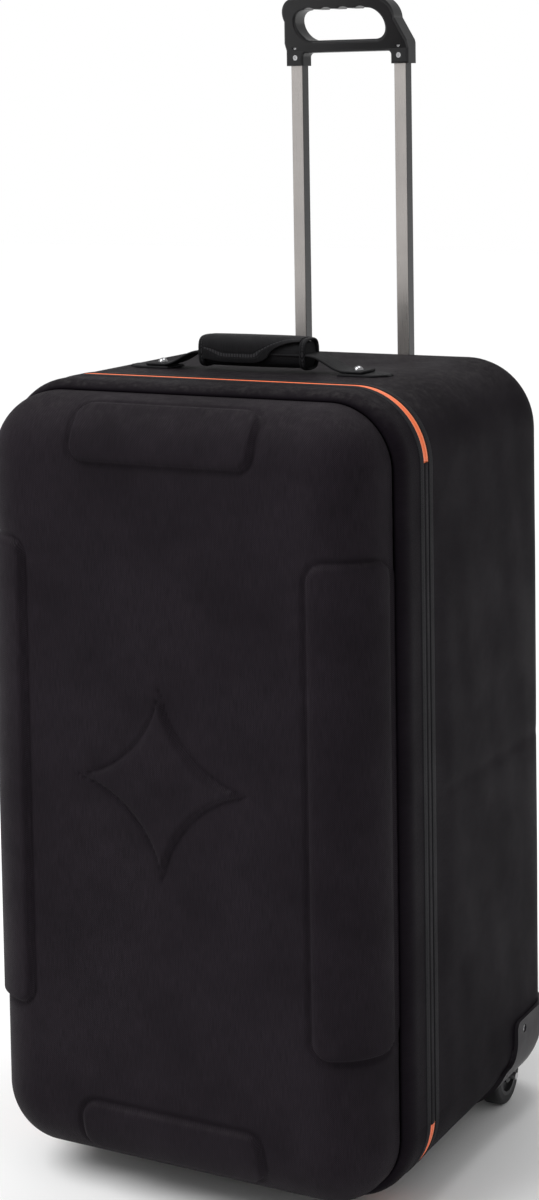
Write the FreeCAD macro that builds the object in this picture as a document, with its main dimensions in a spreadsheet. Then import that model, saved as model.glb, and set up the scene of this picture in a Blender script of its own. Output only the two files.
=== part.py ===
"""Trolley case for a telescope: soft rear tub, moulded lid on a fabric hinge, pull-out grip.

Shapes are worked out in case coordinates (x right, y back from the zip, z up from the fabric's
bottom) and placed so that z = 0 is the floor and y = 0 is the middle of the whole depth.
"""
import math
import os
import re

import FreeCAD
import Part
import Sketcher
from FreeCAD import Placement, Rotation, Vector

SIZES = {
    # outside of the case
    "caseWidth": 475, "caseHeight": 840, "bodyDepth": 334, "gussetDepth": 56.5, "lidDepth": 133,
    "cornerRadius": 78, "backRadius": 44, "domeInset": 10.5, "domeRadius": 62, "floorGap": 18,
    # raised bumpers on the lid
    "padRise": 4, "padHalf": 108, "padEdge": 8, "padHigh": 67, "lowPadHigh": 55,
    "sidePadWide": 66, "sidePadEdge": 9.5, "sidePadHigh": 503, "sidePadLow": 177, "padCorner": 24,
    # layers of the walls
    "coverThick": 1.5, "layerGap": 0.2, "boardThick": 3, "foamThick": 20, "lidWall": 4,
    "backFoam": 25, "lidFoam": 14, "boardEdge": 18, "wireRadius": 2, "wireInset": 5, "wireSet": 13,
    # zip and fabric hinge
    "zipHalf": 5, "zipGap": 0.6, "tapeWide": 16, "tapeThick": 0.8, "coilThick": 2.2,
    "coilWide": 2.4, "hingeHigh": 765, "hingeLow": 73, "hingeHalf": 11, "hingeThick": 1,
    "sliderLong": 26, "sliderWide": 8.4, "sliderPlate": 1.6, "sliderGap": 0.3,
    "upperSlider": 482, "lowerSlider": 430, "sliderPost": 0.8, "pullLong": 34, "pullWide": 5.6,
    "pullThick": 1.6, "pinRadius": 0.9, "pinPlay": 0.06, "pinStand": 3, "eyeRadius": 2.2,
    # cradles that hold the telescope
    "cradleThick": 50, "lowerCradle": 190, "upperDrop": 240, "cradleFront": 130,
    "cradleBore": 120,
    # trolley
    "tubeSpacing": 134, "tubeWide": 15, "tubeDeep": 16, "tubeWall": 1.2, "tubeAxis": 327,
    "tubeRound": 1, "detentRound": 1.4, "bezelRound": 4,
    "tubeTop": 1203, "tubeLong": 498, "guideGap": 0.3, "guideWall": 1.3, "guideDrop": 50,
    "guideLow": 312, "guideStand": 5, "bezelHigh": 22, "bracketLow": 300, "bracketHigh": 36,
    "trolleyHalf": 96, "trolleyTravel": 330, "plugHigh": 14, "plugGap": 0.2, "plugSpigot": 15,
    "detentRadius": 2.4, "detentPlay": 0.05, "detentLong": 8, "panelThick": 3, "panelRim": 8,
    "panelRise": 6, "boltRadius": 2, "boltHead": 4,
    # grip
    "gripLow": 1175, "gripHalf": 79, "gripThick": 25, "gripTop": 1253, "gripLean": 35,
    "socketWide": 22, "crossLow": 1190, "crossHigh": 14, "topBar": 14, "topHalf": 50,
    "gripEdge": 3, "waveDepth": 2, "waveRadius": 12, "screwRadius": 1.75, "screwHead": 3.2,
    # wheels, corner housings and feet
    "wheelInset": 37.5, "wheelY": 270, "wheelRadius": 34, "wheelWide": 24, "hubRadius": 23,
    "axleRadius": 4, "axlePlay": 0.05, "axleLong": 44, "wheelPlay": 4, "tyreRound": 5, "hubRim": 4,
    "hubBoss": 5, "hubSink": 5, "housingWide": 59.5, "housingFront": 222,
    "housingHigh": 66, "guardRise": 4.5, "guardHigh": 97, "guardFront": 226,
    "guardStep": 47, "guardToe": 204, "guardWide": 69.5, "guardRound": 9, "guardSink": 1.2,
    "guardHead": 1.8, "boltIn": 20, "boltDown": 12, "guardBolt": 12,
    "footX": 128, "footY": 45, "footLong": 52, "footWide": 26,
    "footRound": 6, "soleRound": 2.5,
    # carry handle
    "handleY": 87, "wrapHalf": 66, "wrapWide": 36, "wrapHigh": 35, "wrapLift": 2.5,
    "wrapRound": 15, "strapWide": 34, "strapThick": 3, "strapEnd": 133, "strapFlat": 20, "strapLift": 0.3,
    "tabIn": 104, "tabOut": 159, "tabTip": 14, "tabWide": 38, "tabThick": 2.5, "tabLift": 0.05,
    "rivetX": 121, "rivetRadius": 5.5, "rivetSink": 1.2,
}
DERIVED = {
    "zipY": "(lidDepth + padRise - bodyDepth - panelRise) / 2",
    "halfWidth": "caseWidth / 2",
    "inner": "coverThick + layerGap",
    "foamSkin": "coverThick + layerGap + boardThick",
    "padded": "coverThick + layerGap + boardThick + foamThick",
    "boardFront": "tapeWide + 2",
    "guideHalfX": "tubeWide / 2 + guideGap + guideWall",
    "guideHalfY": "tubeDeep / 2 + guideGap + guideWall",
    "backBoard": "tubeAxis - tubeDeep / 2 - guideGap - guideWall - guideStand - boardThick",
    "cavityBack": "tubeAxis - tubeDeep / 2 - guideGap - guideWall - guideStand - boardThick"
                  " - backFoam",
    "wheelX": "halfWidth - wheelInset",
    "housingIn": "halfWidth - housingWide",
    "guardIn": "halfWidth - guardWide",
    "guideTop": "caseHeight - guideDrop",
    "upperCradle": "caseHeight - upperDrop",
    "wheelZ": "wheelRadius - floorGap",
    "tubeX": "tubeSpacing / 2",
    "tubeLow": "tubeTop - tubeLong",
}
SIDES = (("left", -1), ("right", 1))
FINGERS = (-34, -12, 10, 32)

document = FreeCAD.newDocument("TelescopeCase")
sheet = document.addObject("Spreadsheet::Sheet", "Sizes")
reader = document.addObject("App::FeaturePython", "Reader")
nodes = []


def fillSheet():
    """Write every size and every derived size to its own named cell."""
    cells = [(name, str(number)) for name, number in SIZES.items()]
    cells += [(name, "=" + formula) for name, formula in DERIVED.items()]
    for row, (name, content) in enumerate(cells, start=1):
        sheet.set("A%d" % row, name)
        sheet.set("B%d" % row, content)
        sheet.setAlias("B%d" % row, name)
    document.recompute()


def size(name):
    """The present number in a named cell."""
    return float(getattr(sheet, name))


def bound(text):
    """An expression that reads the sheet, from one written with bare cell names."""
    return re.sub(r"[A-Za-z]+", lambda word: "Sizes." + word.group(), str(text))


def value(text):
    """What such an expression gives now."""
    return float(reader.evalExpression(bound(text)))


def keep(label, item):
    """Make an object a sub-part of its own, under the name of its file."""
    item.Label = label
    nodes.append(item)
    return item


# --- building blocks -------------------------------------------------------------------------

def box(name, x, y, z):
    """A box between bound limits, each a pair of expressions in case coordinates."""
    item = document.addObject("Part::Box", name)
    for side, (low, high) in (("Length", x), ("Width", y), ("Height", z)):
        item.setExpression(side, bound("(%s) - (%s)" % (high, low)))
    item.setExpression("Placement.Base.x", bound(x[0]))
    item.setExpression("Placement.Base.y", bound("zipY + %s" % y[0]))
    item.setExpression("Placement.Base.z", bound("floorGap + %s" % z[0]))
    return item


def rod(name, start, radius, length, direction):
    """A cylinder from a bound start point, along one of the axes."""
    item = document.addObject("Part::Cylinder", name)
    item.Placement = Placement(Vector(), Rotation(Vector(0, 0, 1), Vector(*direction)))
    item.setExpression("Radius", bound(radius))
    item.setExpression("Height", bound(length))
    item.setExpression("Placement.Base.x", bound(start[0]))
    item.setExpression("Placement.Base.y", bound("zipY + %s" % start[1]))
    item.setExpression("Placement.Base.z", bound("floorGap + %s" % start[2]))
    return item


def fuse(name, *items):
    item = document.addObject("Part::MultiFuse", name)
    item.Shapes = list(items)
    return item


def group(name, *items):
    item = document.addObject("Part::Compound", name)
    item.Links = list(items)
    return item


def cut(name, base, *tools):
    item = document.addObject("Part::Cut", name)
    item.Base = base
    item.Tool = tools[0] if len(tools) == 1 else fuse(name + "Tools", *tools)
    return item


def common(name, base, tool):
    item = document.addObject("Part::Common", name)
    item.Base = base
    item.Tool = tool
    return item


def feature(name, shape):
    """A shape worked out in case coordinates, set down in the part's frame."""
    item = document.addObject("Part::Feature", name)
    item.Shape = shape
    item.Placement = Placement(Vector(0, size("zipY"), size("floorGap")), Rotation())
    return item


def rounded(name, base, radius, chosen):
    """Round the edges of a finished shape that the function chosen picks."""
    document.recompute()
    item = document.addObject("Part::Fillet", name)
    item.Base = base
    bounds = base.Shape.BoundBox
    picked = [n for n, edge in enumerate(base.Shape.Edges, start=1)
              if chosen(edge.BoundBox, bounds)]
    item.Edges = [(n, value(radius), value(radius)) for n in picked]
    return item


def originPlane(body, role):
    return next(plane for plane in body.Origin.OriginFeatures if plane.Role == role)


def newSketch(body, name, role, depth):
    """A sketch on one of the body's own planes, moved along its normal by a bound depth."""
    sketch = body.newObject("Sketcher::SketchObject", name)
    sketch.AttachmentSupport = [(originPlane(body, role), "")]
    sketch.MapMode = "FlatFace"
    sketch.setExpression("AttachmentOffset.Base.z", bound(depth))
    return sketch


def addRoundRect(sketch, left, right, low, high, radius):
    """A rectangle with round corners whose limits and radius are bound to the sheet."""
    x0, x1, z0, z1, r = (value(text) for text in (left, right, low, high, radius))
    corners = [(x1 - r, z0 + r, -90), (x1 - r, z1 - r, 0), (x0 + r, z1 - r, 90), (x0 + r, z0 + r, 180)]
    ends = [((x0 + r, z0), (x1 - r, z0)), ((x1, z0 + r), (x1, z1 - r)),
            ((x1 - r, z1), (x0 + r, z1)), ((x0, z1 - r), (x0, z0 + r))]
    first = sketch.GeometryCount
    for (start, end), (cx, cz, angle) in zip(ends, corners):
        sketch.addGeometry(Part.LineSegment(Vector(*start, 0), Vector(*end, 0)))
        circle = Part.Circle(Vector(cx, cz, 0), Vector(0, 0, 1), r)
        sketch.addGeometry(Part.ArcOfCircle(circle, math.radians(angle), math.radians(angle + 90)))
    for step in range(8):
        after = first + (step + 1) % 8
        sketch.addConstraint(Sketcher.Constraint("Tangent", first + step, 2, after, 1))
    for line in (0, 4):
        sketch.addConstraint(Sketcher.Constraint("Horizontal", first + line))
        sketch.addConstraint(Sketcher.Constraint("Vertical", first + line + 2))
    for arc in (3, 5, 7):
        sketch.addConstraint(Sketcher.Constraint("Equal", first + 1, first + arc))
    limits = [("Radius", (first + 1,), r, radius), ("DistanceX", (-1, 1, first + 2, 1), x1, right),
              ("DistanceX", (-1, 1, first + 6, 1), x0, left),
              ("DistanceY", (-1, 1, first, 1), z0, low), ("DistanceY", (-1, 1, first + 4, 1), z1, high)]
    for kind, places, number, text in limits:
        where = sketch.addConstraint(Sketcher.Constraint(kind, *places, number))
        sketch.setExpression("Constraints[%d]" % where, bound(text))


def addCircle(sketch, x, z, radius):
    """A circle whose centre and radius are bound to the sheet."""
    circle = Part.Circle(Vector(value(x), value(z), 0), Vector(0, 0, 1), value(radius))
    where = sketch.addGeometry(circle)
    for kind, places, text in (("Radius", (where,), radius), ("DistanceX", (-1, 1, where, 3), x),
                               ("DistanceY", (-1, 1, where, 3), z)):
        index = sketch.addConstraint(Sketcher.Constraint(kind, *places, value(text)))
        sketch.setExpression("Constraints[%d]" % index, bound(text))


def newBody(name):
    """A body whose sketches use the part's x, the case's y and the floor's z."""
    body = document.addObject("PartDesign::Body", name)
    body.setExpression("Placement.Base.y", bound("zipY"))
    return body


def padSketch(body, sketch, length, backwards):
    pad = body.newObject("PartDesign::Pad", body.Name + "Pad")
    pad.Profile = sketch
    pad.setExpression("Length", bound(length))
    pad.Reversed = backwards
    return pad


def addOutline(sketch, inset):
    """The case's front outline, moved in by a bound inset."""
    addRoundRect(sketch, "-(halfWidth - (%s))" % inset, "halfWidth - (%s)" % inset,
                 "floorGap + (%s)" % inset, "floorGap + caseHeight - (%s)" % inset,
                 "cornerRadius - (%s)" % inset)


def roundEnd(body, pad, radius, end):
    """Round the loop of edges where a pad along y ends."""
    document.recompute()
    level = value(end)
    names = ["Edge%d" % n for n, edge in enumerate(pad.Shape.Edges, start=1)
             if all(abs(vertex.Y - level) < 0.01 for vertex in edge.Vertexes)]
    fillet = body.newObject("PartDesign::Fillet", body.Name + "Round")
    fillet.Base = (pad, names)
    fillet.setExpression("Radius", bound(radius))
    return fillet


def tub(name, inset, start, end, radius):
    """A solid of the case's outline from start to end along y, with a rounded end."""
    body = newBody(name)
    sketch = newSketch(body, name + "Outline", "XZ_Plane", "-(%s)" % start)
    addOutline(sketch, inset)
    backwards = value(end) > value(start)
    length = "(%s) - (%s)" % ((end, start) if backwards else (start, end))
    pad = padSketch(body, sketch, length, backwards)
    roundEnd(body, pad, radius, end)
    return body


def hoop(name, outer, inside, start, end):
    """A band of the case's outline between two insets, from start to end along y."""
    body = newBody(name)
    sketch = newSketch(body, name + "Outline", "XZ_Plane", "-(%s)" % start)
    addOutline(sketch, outer)
    addOutline(sketch, inside)
    backwards = value(end) > value(start)
    length = "(%s) - (%s)" % ((end, start) if backwards else (start, end))
    padSketch(body, sketch, length, backwards)
    return body


def slab(name, y):
    """A box wider and taller than the case between two places along y."""
    return box(name, ("-halfWidth - 50", "halfWidth + 50"), y, ("-50", "caseHeight + 50"))


# --- rear tub --------------------------------------------------------------------------------

def wheelCorners(name, spare):
    """The two corner blocks that the wheel housings take out of the soft parts."""
    blocks = []
    for side, sign in SIDES:
        x = ("housingIn - %s" % spare, "halfWidth + 20")
        if sign < 0:
            x = ("-halfWidth - 20", "-housingIn + %s" % spare)
        y = ("housingFront - %s" % spare, "bodyDepth + 20")
        blocks.append(box(name + side, x, y, ("-20", "housingHigh + %s" % spare)))
    return blocks


def trolleyPocket(name):
    """The recess in the back that the trolley lies in."""
    return box(name, ("-trolleyHalf - layerGap", "trolleyHalf + layerGap"),
               ("backBoard + boardThick", "bodyDepth + 20"), ("bracketLow - layerGap", "caseHeight"))


def bodyCover():
    skin = tub("coverSkin", "0", "zipHalf", "bodyDepth", "backRadius")
    hollow = tub("coverHollow", "coverThick", "zipHalf - 1", "bodyDepth - coverThick",
                 "backRadius - coverThick")
    item = cut("bodyCover", skin, hollow, trolleyPocket("coverPocket"),
               *wheelCorners("coverCorner", "layerGap"))
    keep("body_cover", item)


def flatBoards():
    """Four flat stiffeners between the round corners, and the foam against each."""
    along = ("cornerRadius", "caseHeight - cornerRadius")
    across = ("cornerRadius - halfWidth", "halfWidth - cornerRadius")
    depth = ("boardFront", "cavityBack - layerGap")
    soft = ("boardFront", "cavityBack")
    keep("right_board", box("rightBoard", ("halfWidth - foamSkin", "halfWidth - inner"), depth, along))
    keep("left_board", box("leftBoard", ("inner - halfWidth", "foamSkin - halfWidth"), depth, along))
    keep("top_board", box("topBoard", across, depth, ("caseHeight - foamSkin", "caseHeight - inner")))
    keep("bottom_board", box("bottomBoard", across, depth, ("inner", "foamSkin")))
    keep("right_foam", box("rightFoam", ("halfWidth - padded", "halfWidth - foamSkin"), soft, along))
    keep("left_foam", box("leftFoam", ("foamSkin - halfWidth", "padded - halfWidth"), soft, along))
    keep("top_foam", box("topFoam", across, soft, ("caseHeight - padded", "caseHeight - foamSkin")))
    keep("bottom_foam", box("bottomFoam", across, soft, ("foamSkin", "padded")))


def cornerFoam(label, start, end, corners):
    """Four solid corner fillers: each the round corner cut off by a straight chord."""
    reach = size("cornerRadius") - size("inner")
    x = size("halfWidth") - size("cornerRadius")
    z = size("caseHeight") / 2 - size("cornerRadius")
    solids = []
    for sx, sz in ((1, 1), (-1, 1), (-1, -1), (1, -1)):
        middle = Vector(sx * x, start, size("caseHeight") / 2 + sz * z)
        side = middle + Vector(sx * reach, 0, 0)
        bow = middle + Vector(sx * reach, 0, sz * reach) * math.sqrt(0.5)
        end_ = middle + Vector(0, 0, sz * reach)
        arc = Part.Arc(side, bow, end_).toShape()
        chord = Part.LineSegment(end_, side).toShape()
        solids.append(Part.Face(Part.Wire([arc, chord])).extrude(Vector(0, end - start, 0)))
    item = feature(label + "Solids", Part.makeCompound(solids))
    if corners:
        item = cut(label + "Cut", item, *corners)
    keep(label, item)


def backLayers():
    """Foam, board and outer spacer across the back, all following the rounded edge."""
    block = tub("backBlock", "inner", "zipHalf", "bodyDepth - inner", "backRadius - inner")
    layers = (("back_foam", ("cavityBack", "backBoard")),
              ("back_board", ("backBoard", "backBoard + boardThick")),
              ("back_spacer", ("backBoard + boardThick", "bodyDepth - inner")))
    for label, y in layers:
        layer = common(label + "Layer", block, slab(label + "Slab", y))
        tools = wheelCorners(label + "Corner", "layerGap")
        if label == "back_spacer":
            tools.append(trolleyPocket(label + "Pocket"))
        keep(label, cut(label + "Cut", layer, *tools))


def cradle(label, low):
    """A foam block across the tub with a half-round seat for the telescope's tube."""
    block = box(label + "Block", ("padded + layerGap - halfWidth", "halfWidth - padded - layerGap"),
                ("cradleFront", "cavityBack - layerGap"), (low, "%s + cradleThick" % low))
    seat = rod(label + "Seat", ("0", "cradleFront", "%s - 1" % low), "cradleBore",
               "cradleThick + 2", (0, 0, 1))
    keep(label, cut(label + "Cut", block, seat))


def rimWire(label, side):
    """The spring-steel hoop sewn in behind the zip, a round wire along the case's outline."""
    inset = size("wireInset")
    half = size("halfWidth") - inset
    low = inset
    high = size("caseHeight") - inset
    r = size("cornerRadius") - inset
    y = side * size("wireSet")
    k = math.sqrt(0.5)
    points = [Vector(0, y, low)]
    edges = []
    turns = ((half - r, low + r, 0, -1, 1, 0), (half - r, high - r, 1, 0, 0, 1),
             (r - half, high - r, 0, 1, -1, 0), (r - half, low + r, -1, 0, 0, -1))
    for cx, cz, ax, az, bx, bz in turns:
        start = Vector(cx + ax * r, y, cz + az * r)
        bow = Vector(cx + (ax + bx) * r * k, y, cz + (az + bz) * r * k)
        end = Vector(cx + bx * r, y, cz + bz * r)
        edges.append(Part.LineSegment(points[-1], start).toShape())
        edges.append(Part.Arc(start, bow, end).toShape())
        points.append(end)
    edges.append(Part.LineSegment(points[-1], points[0]).toShape())
    path = Part.Wire(edges)
    section = Part.Wire(Part.makeCircle(size("wireRadius"), points[0], Vector(1, 0, 0)))
    keep(label, feature(label + "Hoop", path.makePipeShell([section], True, False)))


def zipHalf(label, sign):
    """One side of the zip: woven tape with its coil, open along the fabric hinge."""
    start = "zipGap" if sign > 0 else "-zipGap"
    tapeEnd = "tapeWide" if sign > 0 else "-tapeWide"
    coilEnd = "zipGap + coilWide" if sign > 0 else "-zipGap - coilWide"
    tape = hoop(label + "Tape", "inner", "inner + tapeThick", start, tapeEnd)
    coil = hoop(label + "Coil", "inner + tapeThick", "inner + tapeThick + coilThick", start, coilEnd)
    away = box(label + "Away", ("0", "halfWidth + 20"), ("-tapeWide - 5", "tapeWide + 5"),
               ("hingeLow", "hingeHigh"))
    keep(label, cut(label + "Cut", fuse(label + "Both", tape, coil), away))


def hingeStrip():
    """The doubled fabric strip that the lid turns on, down the right-hand side."""
    near = "halfWidth + layerGap / 2"
    keep("hinge_strip", box("hingeStrip", (near, near + " + hingeThick"),
                            ("-hingeHalf", "hingeHalf"), ("hingeLow", "hingeHigh")))


# --- zip sliders -----------------------------------------------------------------------------

def zipSlider(label, pullLabel, level):
    """A slider of two plates and a post astride the zip on the left side, and its hanging pull."""
    tape = "inner - halfWidth"
    outerIn = "%s - sliderGap" % tape
    innerOut = "%s + tapeThick + coilThick + sliderGap" % tape
    z = ("%s - sliderLong / 2" % level, "%s + sliderLong / 2" % level)
    y = ("-sliderWide / 2", "sliderWide / 2")
    axis = "%s - sliderGap - sliderPlate - pinStand" % tape
    outer = box(label + "Outer", ("%s - sliderPlate" % outerIn, outerIn), y, z)
    inside = box(label + "Inner", (innerOut, "%s + sliderPlate" % innerOut), y, z)
    post = box(label + "Post", (outerIn, innerOut), ("-sliderPost / 2", "sliderPost / 2"),
               ("%s - 3" % level, "%s + 3" % level))
    parts = [outer, inside, post]
    for n, low in enumerate(("-sliderWide / 2", "sliderWide / 2 - 1.1")):
        parts.append(box("%sEar%d" % (label, n), ("%s - 1.6" % axis, "%s + pinStand" % axis),
                         (low, "%s + 1.1" % low), ("%s - 2.2" % level, "%s + 2.2" % level)))
    parts.append(rod(label + "Pin", (axis, "-sliderWide / 2", level), "pinRadius", "sliderWide", (0, 1, 0)))
    keep(label, fuse(label + "All", *parts))

    eye = rod(pullLabel + "Eye", (axis, "-pullWide / 2", level), "eyeRadius", "pullWide", (0, 1, 0))
    leaf = box(pullLabel + "Leaf", ("%s - pullThick / 2" % axis, "%s + pullThick / 2" % axis),
               ("-pullWide / 2", "pullWide / 2"), ("%s - pullLong" % level, level))
    soft = rounded(pullLabel + "Tip", leaf, "pullWide / 2 - 0.4", lowEdgesAlongX)
    bore = rod(pullLabel + "Bore", (axis, "-pullWide", level), "pinRadius + pinPlay", "2 * pullWide",
               (0, 1, 0))
    keep(pullLabel, cut(pullLabel + "Cut", fuse(pullLabel + "All", eye, soft), bore))


def lowEdgesAlongX(edge, whole):
    """True for the bottom edges that run along x."""
    return edge.ZMax < whole.ZMin + 0.01 and edge.YLength < 0.01


# --- lid -------------------------------------------------------------------------------------

def padBlock(name, left, right, low, high):
    """A round-cornered column along y, over one raised bumper."""
    body = newBody(name)
    sketch = newSketch(body, name + "Outline", "XZ_Plane", "gussetDepth")
    addRoundRect(sketch, left, right, "floorGap + %s" % low, "floorGap + %s" % high, "padCorner")
    padSketch(body, sketch, "lidDepth", False)
    return body


def lidShell():
    """The moulded front: a domed panel with a big round edge and four raised bumpers."""
    front = "-lidDepth"
    dome = tub("domeOuter", "domeInset", "-gussetDepth", front, "domeRadius")
    hollow = tub("domeInner", "domeInset + lidWall", "1 - gussetDepth", "lidWall - lidDepth",
                 "domeRadius - lidWall")
    high = tub("domeRaised", "domeInset - padRise", "-gussetDepth", "-lidDepth - padRise",
               "domeRadius + padRise")
    outer = "halfWidth - sidePadEdge"
    top = "caseHeight - padEdge"
    blocks = [
        padBlock("padTop", "-padHalf", "padHalf", top + " - padHigh", top),
        padBlock("padLow", "-padHalf", "padHalf", "4 * padEdge", "4 * padEdge + lowPadHigh"),
        padBlock("padRight", outer + " - sidePadWide", outer, "sidePadLow",
                 "sidePadLow + sidePadHigh"),
        padBlock("padLeft", "sidePadEdge - halfWidth", "sidePadEdge - halfWidth + sidePadWide",
                 "sidePadLow", "sidePadLow + sidePadHigh"),
    ]
    pads = common("lidPads", high, fuse("lidPadBlocks", *blocks))
    keep("lid_shell", cut("lidShell", fuse("lidSolid", dome, pads), hollow))


def lidGusset():
    """The fabric side wall of the lid, turned in at the front where the panel is sewn on."""
    band = hoop("gussetBand", "0", "domeInset + lidWall", "-zipHalf", "-gussetDepth")
    hollow = tub("gussetHollow", "coverThick", "-zipHalf + 1", "coverThick - gussetDepth", "1")
    keep("lid_gusset", cut("lidGusset", band, hollow))


def lidBoards():
    """Four flat stiffeners inside the lid's side wall."""
    along = ("cornerRadius", "caseHeight - cornerRadius")
    across = ("cornerRadius - halfWidth", "halfWidth - cornerRadius")
    depth = ("boardEdge - gussetDepth", "-boardFront")
    boards = [
        box("lidBoardRight", ("halfWidth - foamSkin", "halfWidth - inner"), depth, along),
        box("lidBoardLeft", ("inner - halfWidth", "foamSkin - halfWidth"), depth, along),
        box("lidBoardTop", across, depth, ("caseHeight - foamSkin", "caseHeight - inner")),
        box("lidBoardLow", across, depth, ("inner", "foamSkin")),
    ]
    keep("lid_boards", group("lidBoards", *boards))


def lidFoam():
    """The flat pad inside the lid, on the flat of the moulded panel."""
    edge = "domeInset + domeRadius + 4"
    back = "lidWall + layerGap - lidDepth"
    keep("lid_foam", box("lidFoamPad", ("%s - halfWidth" % edge, "halfWidth - (%s)" % edge),
                         (back, back + " + lidFoam"), (edge, "caseHeight - (%s)" % edge)))


# --- trolley ---------------------------------------------------------------------------------

def tubeBox(name, sign, halfX, halfY, z):
    """A box around one tube's axis."""
    centre = "tubeX" if sign > 0 else "-tubeX"
    return box(name, ("%s - (%s)" % (centre, halfX), "%s + %s" % (centre, halfX)),
               ("tubeAxis - (%s)" % halfY, "tubeAxis + %s" % halfY), z)


def guide(side, sign):
    """A fixed outer tube, slotted on its inner face where the detent pin rides."""
    z = ("guideLow", "guideTop")
    outer = tubeBox("guideOuter" + side, sign, "guideHalfX", "guideHalfY", z)
    bore = tubeBox("guideBore" + side, sign, "tubeWide / 2 + guideGap", "tubeDeep / 2 + guideGap",
                   ("guideLow - 1", "guideTop + 1"))
    pinLevel = "tubeLow - plugHigh / 2"
    x = ("tubeX - tubeWide", "tubeX") if sign > 0 else ("-tubeX", "tubeWide - tubeX")
    slot = box("guideSlot" + side, x, ("tubeAxis - detentRadius - 0.3", "tubeAxis + detentRadius + 0.3"),
               (pinLevel + " - trolleyTravel - 4", pinLevel + " + detentRadius + 0.4"))
    keep(side + "_guide", cut("guide" + side, outer, bore, slot))


def trolleyFixed():
    """Bracket under the guides, bezel over them, moulded back panel and the screws."""
    y = ("backBoard + boardThick", "tubeAxis + guideHalfY + layerGap")
    x = ("-trolleyHalf", "trolleyHalf")
    bracket = box("bracketBlock", x, y, ("bracketLow", "bracketLow + bracketHigh"))
    seats = [tubeBox("bracketSeat" + side, sign, "guideHalfX", "guideHalfY",
                     ("guideLow", "guideTop")) for side, sign in SIDES]
    keep("trolley_bracket", cut("bracket", bracket, *seats))

    bezel = box("bezelBlock", x, y, ("guideTop", "guideTop + bezelHigh"))
    soft = rounded("bezelSoft", bezel, "bezelRound", topEdges)
    holes = [tubeBox("bezelHole" + side, sign, "tubeWide / 2 + guideGap", "tubeDeep / 2 + guideGap",
                     ("guideTop - 1", "guideTop + bezelHigh + 1")) for side, sign in SIDES]
    keep("trolley_bezel", cut("bezel", soft, *holes))

    plateX = ("-trolleyHalf - panelRim", "trolleyHalf + panelRim")
    plate = box("panelBlock", plateX, ("bodyDepth", "bodyDepth + panelRise"),
                ("bracketLow - panelRim", "guideTop + bezelHigh"))
    smooth = rounded("panelSoft", plate, "panelThick", backEdges)
    hollow = box("panelHollow", x, ("bodyDepth - 1", "bodyDepth + panelRise - panelThick"),
                 ("bracketLow", "guideTop + bezelHigh + 1"))
    bolts = []
    holes = []
    for n, (bx, bz) in enumerate((x, z) for z in ("bracketLow + bracketHigh / 2", "guideTop + 10")
                                 for x in ("-tubeX / 3", "tubeX / 3")):
        back = "bodyDepth + panelRise"
        head = rod("boltHead%d" % n, (bx, back + " - 1.6", bz), "boltHead", "1.6", (0, 1, 0))
        shank = rod("boltShank%d" % n, (bx, back + " - 16", bz), "boltRadius", "16", (0, 1, 0))
        cross = box("boltCross%d" % n, (bx + " - 2.6", bx + " + 2.6"), (back + " - 0.9", back + " + 1"),
                    (bz + " - 0.5", bz + " + 0.5"))
        bolt = fuse("bolt%d" % n, head, shank)
        holes.append(bolt)
        bolts.append(cut("boltCut%d" % n, bolt, cross))
    keep("trolley_screws", group("trolleyScrews", *bolts))
    keep("trolley_panel", cut("panel", smooth, hollow, *holes))
    for label in ("trolley_bracket", "trolley_bezel"):
        drill(label, holes)


def drill(label, tools):
    """Replace a kept sub-part by the same one with more cut out of it."""
    item = next(node for node in nodes if node.Label == label)
    nodes.remove(item)
    item.Label = label + "Blank"
    keep(label, cut(item.Name + "Drilled", item, *tools))


def topEdges(edge, whole):
    """True for the edges round the top face."""
    return edge.ZMin > whole.ZMax - 0.01


def backEdges(edge, whole):
    """True for the edges round the rearmost face."""
    return edge.YMin > whole.YMax - 0.01


def innerTube(side, sign):
    """A sliding tube, drilled for the grip's screws."""
    outer = tubeBox("tubeOuter" + side, sign, "tubeWide / 2", "tubeDeep / 2", ("tubeLow", "tubeTop"))
    smooth = rounded("tubeSoft" + side, outer, "tubeRound", longEdges)
    bore = tubeBox("tubeBore" + side, sign, "tubeWide / 2 - tubeWall", "tubeDeep / 2 - tubeWall",
                   ("tubeLow - 1", "tubeTop + 1"))
    holes = [rod("tubeHole%s%d" % (side, n), (x, "tubeAxis - tubeDeep", z), "screwRadius + layerGap",
                 "2 * tubeDeep", (0, 1, 0)) for n, (x, z) in enumerate(gripScrewPlaces(sign))]
    keep(side + "_tube", cut("tube" + side, smooth, bore, *holes))


def longEdges(edge, whole):
    """True for the edges that run the whole height."""
    return edge.ZLength > whole.ZLength - 0.01


def gripScrewPlaces(sign):
    """Expressions for x and z of the two screws through one post of the grip."""
    x = "tubeX" if sign > 0 else "-tubeX"
    return ((x, "gripLow + 9.5"), (x, "gripLow + 22"))


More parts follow.
